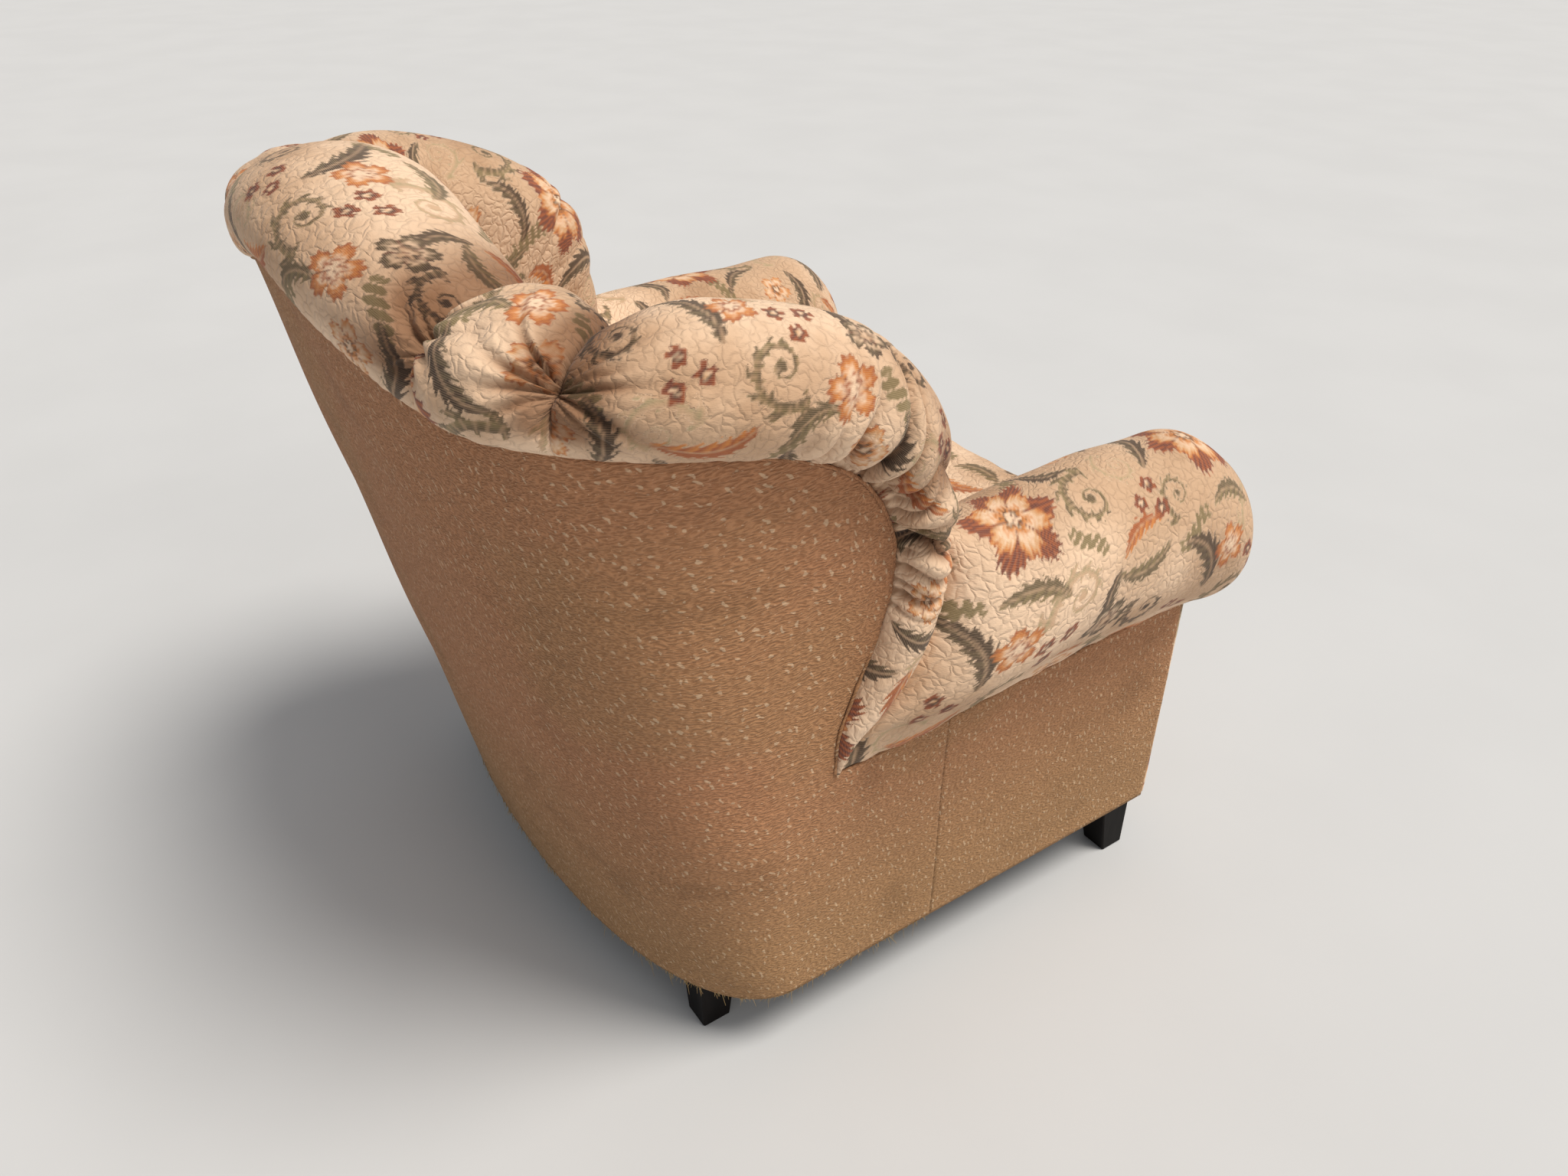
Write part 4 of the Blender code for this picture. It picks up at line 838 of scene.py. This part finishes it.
def arm_sections():
    """Lines of points across the arm, from inside the wing to the tip of the nose."""
    fore = PANEL_FRONT_Y + 0.002
    sections = []
    for step in range(ARM_SECTIONS + 1):
        share = 1 - step / ARM_SECTIONS
        y = fore + share * (ARM_REAR_Y - fore)
        seam_z = arm_seam_z(y + share * SEAM_RUNS_BACK) + 0.0008
        centre_x, centre_z, size = arm_roll_at(y)
        turn = np.radians(np.linspace(-58, 180, 64))
        x = np.concatenate(([-HALF_WIDTH + 0.001, -HALF_WIDTH - 0.006],
                            -centre_x - size * ARM_ROLL_WIDE * np.cos(turn)))
        z = np.concatenate(([seam_z, seam_z + 0.003], centre_z + size * ARM_ROLL_HIGH * np.sin(turn)))
        u = np.linspace(0, 1, 30)[1:]
        x = np.append(x, x[-1] + (-ARM_INNER_X - x[-1]) * ease(np.minimum(2 * u, 1)))
        z = np.append(z, z[-1] + (INNER_PAD_Z - z[-1]) * u)
        seam_y, wide = np.interp(z, tail_z, tail_seam_y), np.interp(z, tail_z, tail_wide)
        outer = ease((OUTER_X - x) / OUTER_FADE)
        rear = np.interp(z, line_z, line_y) + TUCKED_IN
        rear = rear + (seam_y - 0.35 * wide - rear) * outer
        y = fore + share * (rear - fore)
        # the roll swells out from the groove beside the wing's tail
        room = np.clip((seam_y - wide + 0.004 - y) / SWELL_LENGTH, 0, 1)
        swell = np.sqrt(1 - (1 - room) ** 2)
        x = x - np.minimum(x + HALF_WIDTH + 0.002, 0) * (1 - swell)
        line = np.stack((x, y, z), axis=1)
        if not sections:  # the rear end is hidden inside the wing and closes towards a core
            core = np.array((-0.33, 0.0, ARM_ROLL_Z - 0.03))
            for share_in in (0.92, 0.6, 0.3, 0.08):
                inner = line + (core - line) * (share_in, 0, share_in) + (0, 0.014 * share_in, 0)
                sections.append(inner)
        sections.append(line)
    tip = PANEL_FRONT_Y - ARM_NOSE_LENGTH
    for step in range(1, NOSE_SECTIONS + 1):
        y = PANEL_FRONT_Y + (tip - PANEL_FRONT_Y) * math.sin(math.pi / 2 * step / NOSE_SECTIONS)
        centre_x, centre_z, size = arm_roll_at(y)
        turn = np.radians(np.concatenate(([-80, -72], np.linspace(-66, 180, 64),
                                          np.linspace(180, 277, 30)[1:])))
        sections.append(np.stack((-centre_x - size * ARM_ROLL_WIDE * np.cos(turn), 0 * turn + y,
                                  centre_z + size * ARM_ROLL_HIGH * np.sin(turn)), axis=1))
    return sections


def arm_cover(title, side, seed):
    # even steps over the roll, up to its inner side, and even steps below that
    over, below = np.linspace(0, 1, ROLL_ROWS + 1), np.linspace(0, 1, ARM_ROWS - ROLL_ROWS + 1)[1:]
    points = np.array([np.concatenate((stepped(line[:ROLL_POINTS], over),
                                       stepped(line[ROLL_POINTS - 1:], below)))
                       for line in arm_sections()])
    lengths = run_lengths(points)
    u, v = lengths[:, :, 0], lengths[:, :, 1]
    nose = len(points) - NOSE_SECTIONS
    lengths[nose:, :, 1] = v[nose - 1][None, :]
    normal = surface_normals(points)
    if normal[10, 60, 2] < 0:
        normal = -normal
    push = -folds(u, v, 0.0, u[nose - 1, 0], 0.026, 0.0020, 0.030, seed)
    push += 0.0016 * np.sin(u * 17 + v * 9 + seed) + 0.0010 * np.sin(u * 41 - v * 23)
    to_tip = u[-1:, :] - u
    push -= folds(v / 0.9, to_tip, 0.0, 0.75, 0.024, 0.0045, 0.045, seed + 3) * ease(to_tip / 0.012)
    push -= folds(v, u, 0.05, 0.5, 0.030, 0.0050, 0.050, seed + 5)
    push *= ease(v / 0.008) * ease((v[:, -1:] - v) / 0.03)
    points = points + normal * push[:, :, None]
    # painted shade, partly soil: the crease layer darkens the folds and the cloth beside the seam
    crease = np.clip(-push / 0.010, 0, 1) + 0.8 * (1 - ease(v / 0.008))
    points[:, :, 0] *= side
    lengths[:, :, 0] += 0.11 + 0.05 * side
    lengths[:, :, 1] += 0.16
    # the cover's inner side, so that it is a closed piece with a thickness
    inner = np.linspace(ARM_ROWS, 0, 16).astype(int)[1:-1]
    room = np.linalg.norm(points - points.mean(axis=1)[:, None], axis=2).mean(axis=1)
    thick = ARM_CLOTH_THICK * np.minimum(1, room / 0.05)
    normal[:, :, 0] *= side
    lining = points[:, inner] - normal[:, inner] * thick[:, None, None]
    around = np.concatenate((np.arange(ARM_ROWS + 1), inner, [0]))
    shape = cloth_grid(np.concatenate((points, lining, points[:, :1]), 1), lengths[:, around],
                       close=True, crease=crease[:, around])
    piece = finish_piece(f"{title}_arm_pad", shape, tapestry, [f"{title}_arm_pad"])
    weave_in(piece)


arm_cover("right", 1, 61)
arm_cover("left", -1, 71)

# %% [markdown]
# ## Outside covers
#
# The plush goes round the back in one cloth, up to the seam, and down the sides as far as a
# machine seam. The cloth is a grid stretched between four edges, which is how a Coons patch
# works. Two short panels carry on to the front.

# %% The plush round the back
COVER_THICKNESS, STAND_OFF = 0.003, 0.0004
PANEL_SEAM = 0.185
foot_place, foot_z = STATIONS[-1][:2]


def sagging(place, height):
    """How far the loosened plush stands off its boards."""
    return (0.0011 * math.sin(place * 19 + height * 7) + 0.0009 * math.sin(place * 7 - height * 26)
            + 0.0006 * math.sin(place * 43 + height * 31)) * float(ease((height - HEM_Z) / 0.05))


def plush_cloth(columns, rows, spot):
    """A sheet of plush on the wall. spot gives the place and height of each point of the grid."""
    points = np.empty((columns + 1, rows + 1, 3))
    lengths = np.empty((columns + 1, rows + 1, 2))
    for i in range(columns + 1):
        for j in range(rows + 1):
            place, height = spot(i / columns, j / rows)
            points[i, j] = shell(place, height, -sagging(place, height) - STAND_OFF)
            lengths[i, j] = (place, height - HEM_Z)
    return cloth_grid(points, lengths)


def upper_spot(u, v):
    """The cloth above the arms, stretched between its bottom, its top and two curved edges."""
    edge_place, edge_z = station_at(SEAM_END + (SHOULDER - SEAM_END) * v)[:2]
    bottom = np.array((foot_place * (2 * u - 1), foot_z))
    top = np.array(station_at(SHOULDER * (2 * u - 1))[:2])
    left, right = np.array((-edge_place, edge_z)), np.array((edge_place, edge_z))
    shoulder_place, shoulder_z = station_at(SHOULDER)[:2]
    flat = (1 - v) * bottom + v * np.array((shoulder_place * (2 * u - 1), shoulder_z))
    return (1 - v) * bottom + v * top + (1 - u) * left + u * right - flat


def lower_spot(u, v):
    return foot_place * (2 * u - 1), HEM_Z + (foot_z - HEM_Z) * v


def under_arm(side, start, end, tail_foot=False):
    """A stretch of the wall under an arm, whose top may first rise from the foot of the wing's tail."""
    def spot(u, v):
        place = start + (end - start) * u
        top = arm_seam_z(ROUND_START_Y - (place - TURN))
        if tail_foot:
            top = foot_z + (top - foot_z) * float(ease(2 * u))
        return side * place, HEM_Z + (top - HEM_Z) * v
    return spot


def thicken(piece):
    """Give a sheet the thickness of its cloth, inwards, and return the sheet's area."""
    wall = piece.modifiers.new("cloth thickness", "SOLIDIFY")
    wall.thickness, wall.offset = COVER_THICKNESS, -1.0
    return sum(face.area for face in piece.data.polygons)


COVER_COLUMNS, UPPER_ROWS, LOWER_ROWS, PANEL_COLUMNS = 240, 90, 60, 34
cover = plush_cloth(COVER_COLUMNS, UPPER_ROWS, upper_spot)
short_panels = [under_arm(side, foot_place, TURN + PANEL_SEAM, True) for side in (1, -1)]
for columns, spot in ((COVER_COLUMNS, lower_spot), (PANEL_COLUMNS, short_panels[0]),
                      (PANEL_COLUMNS, short_panels[1])):
    spare = mesh_from("spare", plush_cloth(columns, LOWER_ROWS, spot))
    cover.from_mesh(spare)
    bpy.data.meshes.remove(spare)
bmesh.ops.remove_doubles(cover, verts=cover.verts, dist=0.00005)
bmesh.ops.recalc_face_normals(cover, faces=cover.faces)
back_cover = finish_piece("outside_back_cover", cover, plush, ["outside_back_cover"])
flat_area = thicken(back_cover)
print("plush round the back:", round(flat_area, 3), "square metres")


# %% The plush on the arms' sides
SEAM_GAP = 0.0004

for side, title in ((1, "right"), (-1, "left")):
    panel = plush_cloth(70, 56, under_arm(side, TURN + PANEL_SEAM + SEAM_GAP, FRONT))
    bmesh.ops.recalc_face_normals(panel, faces=panel.faces)
    if sum(face.normal.x for face in panel.faces) * -side < 0:
        bmesh.ops.reverse_faces(panel, faces=panel.faces)
    piece = finish_piece(f"{title}_outside_arm_cover", panel, plush,
                         [f"{title}_outside_arm_cover"])
    area = thicken(piece)

# %% [markdown]
# ## Stitched edge and frayed hem
#
# Along the top the plush is folded under and blind-stitched, which leaves a thin soft roll. At
# the bottom the cloth has come away, and loose golden threads hang from it. Hair particles would
# give the threads too, but short tubes from a grid keep each one apart and need no particle
# system.

# %% The folded edge along the seam
def folded_edge(columns, thick):
    stops = np.linspace(-SEAM_END, SEAM_END, columns)
    spots = np.array([shell(*station_at(s)[:2]) for s in stops])
    normals = np.array([outward(station_at(s)[0]) for s in stops])
    run = np.gradient(spots, axis=0)
    across = np.cross(run, normals)
    across /= np.linalg.norm(across, axis=1)[:, None]
    uneven = 1 + 0.25 * np.sin(stops * 190) * np.sin(stops * 67 + 1)
    turn = np.linspace(0, 2 * math.pi, 11)[None, :, None]
    size = (thick * uneven)[:, None, None]
    points = (spots[:, None] + normals[:, None] * (0.0008 + size * np.cos(turn))
              + across[:, None] * size * 1.2 * np.sin(turn))
    places = np.array([station_at(s)[:2] for s in stops]) - (0, HEM_Z)
    lengths = np.repeat(places[:, None], 11, axis=1)
    lengths[:, :, 1] += turn[0, :, 0] * thick
    finish_piece("folded_edge", cloth_grid(points, lengths, close=True), plush)


folded_edge(720, 0.0017)


# %% The frayed threads of the hem
def thread_finish():
    dye = Dyer("loose_thread")
    dye.set(Base_Color=(0.40, 0.27, 0.12, 1.0), Roughness=0.9)
    return dye.finish


THREAD_RADIUS, LONGEST_THREAD = 0.00030, 0.018


def hem_threads(count, seed):
    chance = np.random.default_rng(seed)
    shape = bmesh.new()
    for _ in range(count):
        place = chance.uniform(-1, 1) * (TURN + PANEL_SEAM)
        start = shell(place, HEM_Z + 0.0015) + outward(place) * 0.0006
        hang = min(0.003 + chance.exponential(0.0035), LONGEST_THREAD)
        along = shell(place + 0.01, HEM_Z) - shell(place - 0.01, HEM_Z)
        drift = along / np.linalg.norm(along) * chance.normal(0, 0.35)
        drift += outward(place) * chance.normal(0.1, 0.2)
        curl = chance.normal(0, 0.25)
        made = bmesh.ops.create_grid(shape, x_segments=4, y_segments=4, size=0.5)["verts"]
        for vertex in made:
            t, turn = vertex.co.x + 0.5, 2 * math.pi * (vertex.co.y + 0.5)
            spot = start + hang * (np.array((0.0, 0.0, -t)) + drift * (t + curl * t * t))
            thick = THREAD_RADIUS * (1 - 0.5 * t)
            vertex.co = spot + thick * np.array((math.cos(turn), math.sin(turn), 0.0))
    bmesh.ops.remove_doubles(shape, verts=shape.verts, dist=0.00001)
    bmesh.ops.edgeloop_fill(shape, edges=[edge for edge in shape.edges if edge.is_boundary])
    bmesh.ops.recalc_face_normals(shape, faces=shape.faces)
    finish_piece("hem_threads", shape, thread_finish())


hem_threads(420, 5)

# %% [markdown]
# ## Seat
#
# The seat is a stuffed pad over springs, worn hollow, with a roll along its front edge. A voxel
# remesh of the solid gives even faces, and smoothing rounds its edges. A pressure simulation would
# swell the cloth as well, but a sunken seat needs its hollow and a few slack folds more, and those
# are moved in by rule. The UV map is laid on last, flat on the top and down over the front.

# %% Soften the seat
def copy_of(node):
    """A bmesh copy of a solid, with its doubles merged, in the chairmaker's frame."""
    shape = bmesh.new()
    shape.from_mesh(nodes[node].data)
    bmesh.ops.remove_doubles(shape, verts=shape.verts, dist=0.0001)
    bmesh.ops.recalc_face_normals(shape, faces=shape.faces)
    bmesh.ops.translate(shape, vec=(0, -CENTRE_SHIFT, 0), verts=shape.verts)
    return shape


def apply_modifiers(piece):
    graph = bpy.context.evaluated_depsgraph_get()
    mesh = bpy.data.meshes.new_from_object(piece.evaluated_get(graph))
    piece.modifiers.clear()
    old, piece.data = piece.data, mesh
    bpy.data.meshes.remove(old)


def softened(node, voxel, rounds, levels):
    """A soft piece from a solid: even faces, rounded edges, then finer faces for the pattern."""
    piece = finish_piece(node, copy_of(node), tapestry, [node])
    remesh = piece.modifiers.new("even faces", "REMESH")
    remesh.mode, remesh.voxel_size = "VOXEL", voxel
    rounded = piece.modifiers.new("round edges", "SMOOTH")
    rounded.iterations, rounded.factor = rounds, 0.5
    finer = piece.modifiers.new("finer faces", "SUBSURF")
    finer.levels = finer.render_levels = levels
    apply_modifiers(piece)
    return piece


def lay_cloth(piece, place_of):
    """Give a soft piece its UV map from a rule on its points, and its woven figures."""
    layer = piece.data.uv_layers.new(name="cloth")
    spots = [place_of(point.co, point.normal) for point in piece.data.vertices]
    for loop in piece.data.loops:
        layer.data[loop.index].uv = spots[loop.vertex_index]
    weave_in(piece)
    piece.data.shade_smooth()


seat = softened("seat_pad", 0.0065, 8, 1)
seat_low, seat_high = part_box("seat_pad")
co = np.array([v.co for v in seat.data.vertices])
from_front = co[:, 1] - seat_low.y
from_side = seat_high.x - np.abs(co[:, 0])
from_rear = seat_high.y - co[:, 1]
top = ease((co[:, 2] - seat_low.z - 0.04) / 0.03)
edge = ease(from_side / 0.10) * ease(from_rear / 0.12) * ease(from_front / 0.10)
co[:, 2] -= top * 0.010 * edge
co[:, 2] -= top * folds(co[:, 0], from_front, -0.24, 0.24, 0.045, 0.0030, 0.09, 91)
co[:, 2] -= top * folds(co[:, 1], from_side, -0.40, 0.10, 0.050, 0.0030, 0.10, 92)
co[:, 2] += top * 0.0018 * np.sin(co[:, 0] * 24 + 2 * np.sin(co[:, 1] * 13)) * edge
seat.data.vertices.foreach_set("co", co.ravel())


def seat_place(point, normal):
    drop = max(0.0, seat_high.z - 0.02 - point.z) * float(ease((seat_low.y + 0.05 - point.y) / 0.04))
    return point.x + 0.3, point.y - drop + 0.7


lay_cloth(seat, seat_place)
middle = np.hypot(co[:, 0], co[:, 1] + 0.15) < 0.03
print("seat hollow:", round(float(co[:, 2].max() - co[middle][:, 2].max()), 3))

# %% [markdown]
# ## Front facings and border
#
# Under each arm's nose is a narrow stuffed facing, and between them a border covers the front
# rail. They are copies of the solids with a softer edge, so that the tapestry can have a UV map
# laid flat on the front.


# %% Soft front panels
def front_place(point, normal):
    return point.x + 0.9 + point.y * float(ease((abs(normal.x) - 0.5) / 0.3)), point.z


for node in ("left_arm_facing", "right_arm_facing", "front_border"):
    panel = softened(node, 0.004, 3, 0)
    lay_cloth(panel, front_place)


# %% [markdown]
# ## Timber, hidden layers and legs
#
# The remaining solids already have the right shape, so they only get finishes: a noise between a
# light and a dark tone, stretched along the grain where it is wood. The legs are stained nearly
# black. The rest is hidden, and fine detail there would cost time and never show.

# %% Finishes for the solids that stay
def plain_finish(name, light, dark, scale, stretch, rough, bump=0.2, **more):
    dye = Dyer(name)
    where = dye.node("ShaderNodeTexCoord").outputs["Object"]
    grain = dye.noise(dye.vector("MULTIPLY", where, stretch), scale, 4.0, 0.6, flat=False)
    colour = dye.blend(dye.soft_step(grain, 0.35, 0.68), light, dark)
    dye.set(Base_Color=colour, Normal=dye.bump(grain, bump, 0.0006),
            Roughness=dye.maths("MULTIPLY_ADD", grain, 0.2, rough - 0.1), **more)
    return dye.finish


EVEN = (1.0, 1.0, 1.0)
LOOKS = {
    "stained_wood": ((0.006, 0.0042, 0.0036), (0.0028, 0.0021, 0.0019), 9.0, (6.0, 6.0, 1.0), 0.55),
    "beech_frame": ((0.55, 0.38, 0.22), (0.44, 0.29, 0.16), 8.0, (1.0, 5.0, 5.0), 0.6),
    "jute_webbing": ((0.46, 0.34, 0.20), (0.33, 0.23, 0.13), 240.0, EVEN, 0.9, 0.6),
    "hessian": ((0.42, 0.31, 0.18), (0.31, 0.22, 0.12), 300.0, EVEN, 0.95, 0.6),
    "black_cambric": ((0.035, 0.034, 0.033), (0.02, 0.02, 0.02), 420.0, EVEN, 0.9, 0.5),
    "spring_steel": ((0.30, 0.28, 0.26), (0.20, 0.17, 0.15), 60.0, EVEN, 0.45),
}
SHINE = {"stained_wood": {"Specular_IOR_Level": 0.12}, "spring_steel": {"Metallic": 1.0}}
FINISHES = {name: plain_finish(name, *look, **SHINE.get(name, {})) for name, look in LOOKS.items()}
slots = {row["node"]: row["material_slot"] for row in frame["record"]["subparts"]}
for name, solid in nodes.items():
    if slots.get(name) in FINISHES:
        solid.data.materials.clear()
        solid.data.materials.append(FINISHES[slots[name]])
print("solids kept:", sum(slots.get(name) in FINISHES for name in nodes))

# %% [markdown]
# ## Floor, light and camera
#
# A wide pale floor keeps the background plain. A soft lamp from above, a weak one from the side
# and a pale sky let each colour come out as it is written. The camera stands where the
# photographer stood: behind and above the sitter's right shoulder, looking down over the arm.


# %% Floor
def stage_finish(name, colour):
    dye = Dyer(name)
    where = dye.node("ShaderNodeTexCoord").outputs["Object"]
    cloud = dye.soft_step(dye.noise(where, 2.5, 4.0, flat=False), 0.3, 0.7)
    dye.set(Base_Color=dye.blend(cloud, colour, tuple(c * 0.97 for c in colour)), Roughness=0.8)
    return dye.finish


floor_shape = bmesh.new()
bmesh.ops.create_grid(floor_shape, x_segments=2, y_segments=2, size=14.0)
floor = put_in_scene("floor", mesh_from("floor", floor_shape))
floor.data.materials.append(stage_finish("pale_floor", (0.57, 0.575, 0.58)))
print("floor placed")

# %% Lamps and world
world = bpy.data.worlds.new("soft_room")
bpy.context.scene.world = world
world.use_nodes = True
sky = world.node_tree.nodes["Background"].inputs
sky["Color"].default_value, sky["Strength"].default_value = (0.92, 0.93, 0.95, 1.0), 0.42
LAMP_COLOUR = (1.0, 0.95, 0.88)


def lamp(name, direction, spread, power):
    """Light from far off in one direction, as wide as a big soft box, even over the whole floor."""
    light = bpy.data.lights.new(name, "SUN")
    light.angle, light.energy, light.color = math.radians(spread), power, LAMP_COLOUR
    holder = put_in_scene(name, light)
    holder.rotation_euler = Vector(direction).to_track_quat("Z", "Y").to_euler()


lamp("overhead", (-0.55, -0.50, 1.5), 26, 2.95)
lamp("side", (-1.6, -0.5, 0.8), 30, 0.55)
print("lamps ready")

# %% Camera
LENS_PIXELS, PHOTO_WIDTH = 1539, 2048
PITCH = math.radians(32.5)
camera = bpy.data.cameras.new("camera")
camera.sensor_width = 36.0
camera.lens = LENS_PIXELS / PHOTO_WIDTH * camera.sensor_width
viewer = put_in_scene("camera", camera)
viewer.location = (-1.073, 0.5985 + CENTRE_SHIFT, 1.126)
look = Vector((0.8266 * math.cos(PITCH), -0.5628 * math.cos(PITCH), -math.sin(PITCH)))
viewer.rotation_euler = look.to_track_quat("-Z", "Y").to_euler()
bpy.context.scene.camera = viewer
bpy.context.scene.view_settings.view_transform = "Standard"
print("lens:", round(camera.lens, 2), "mm")
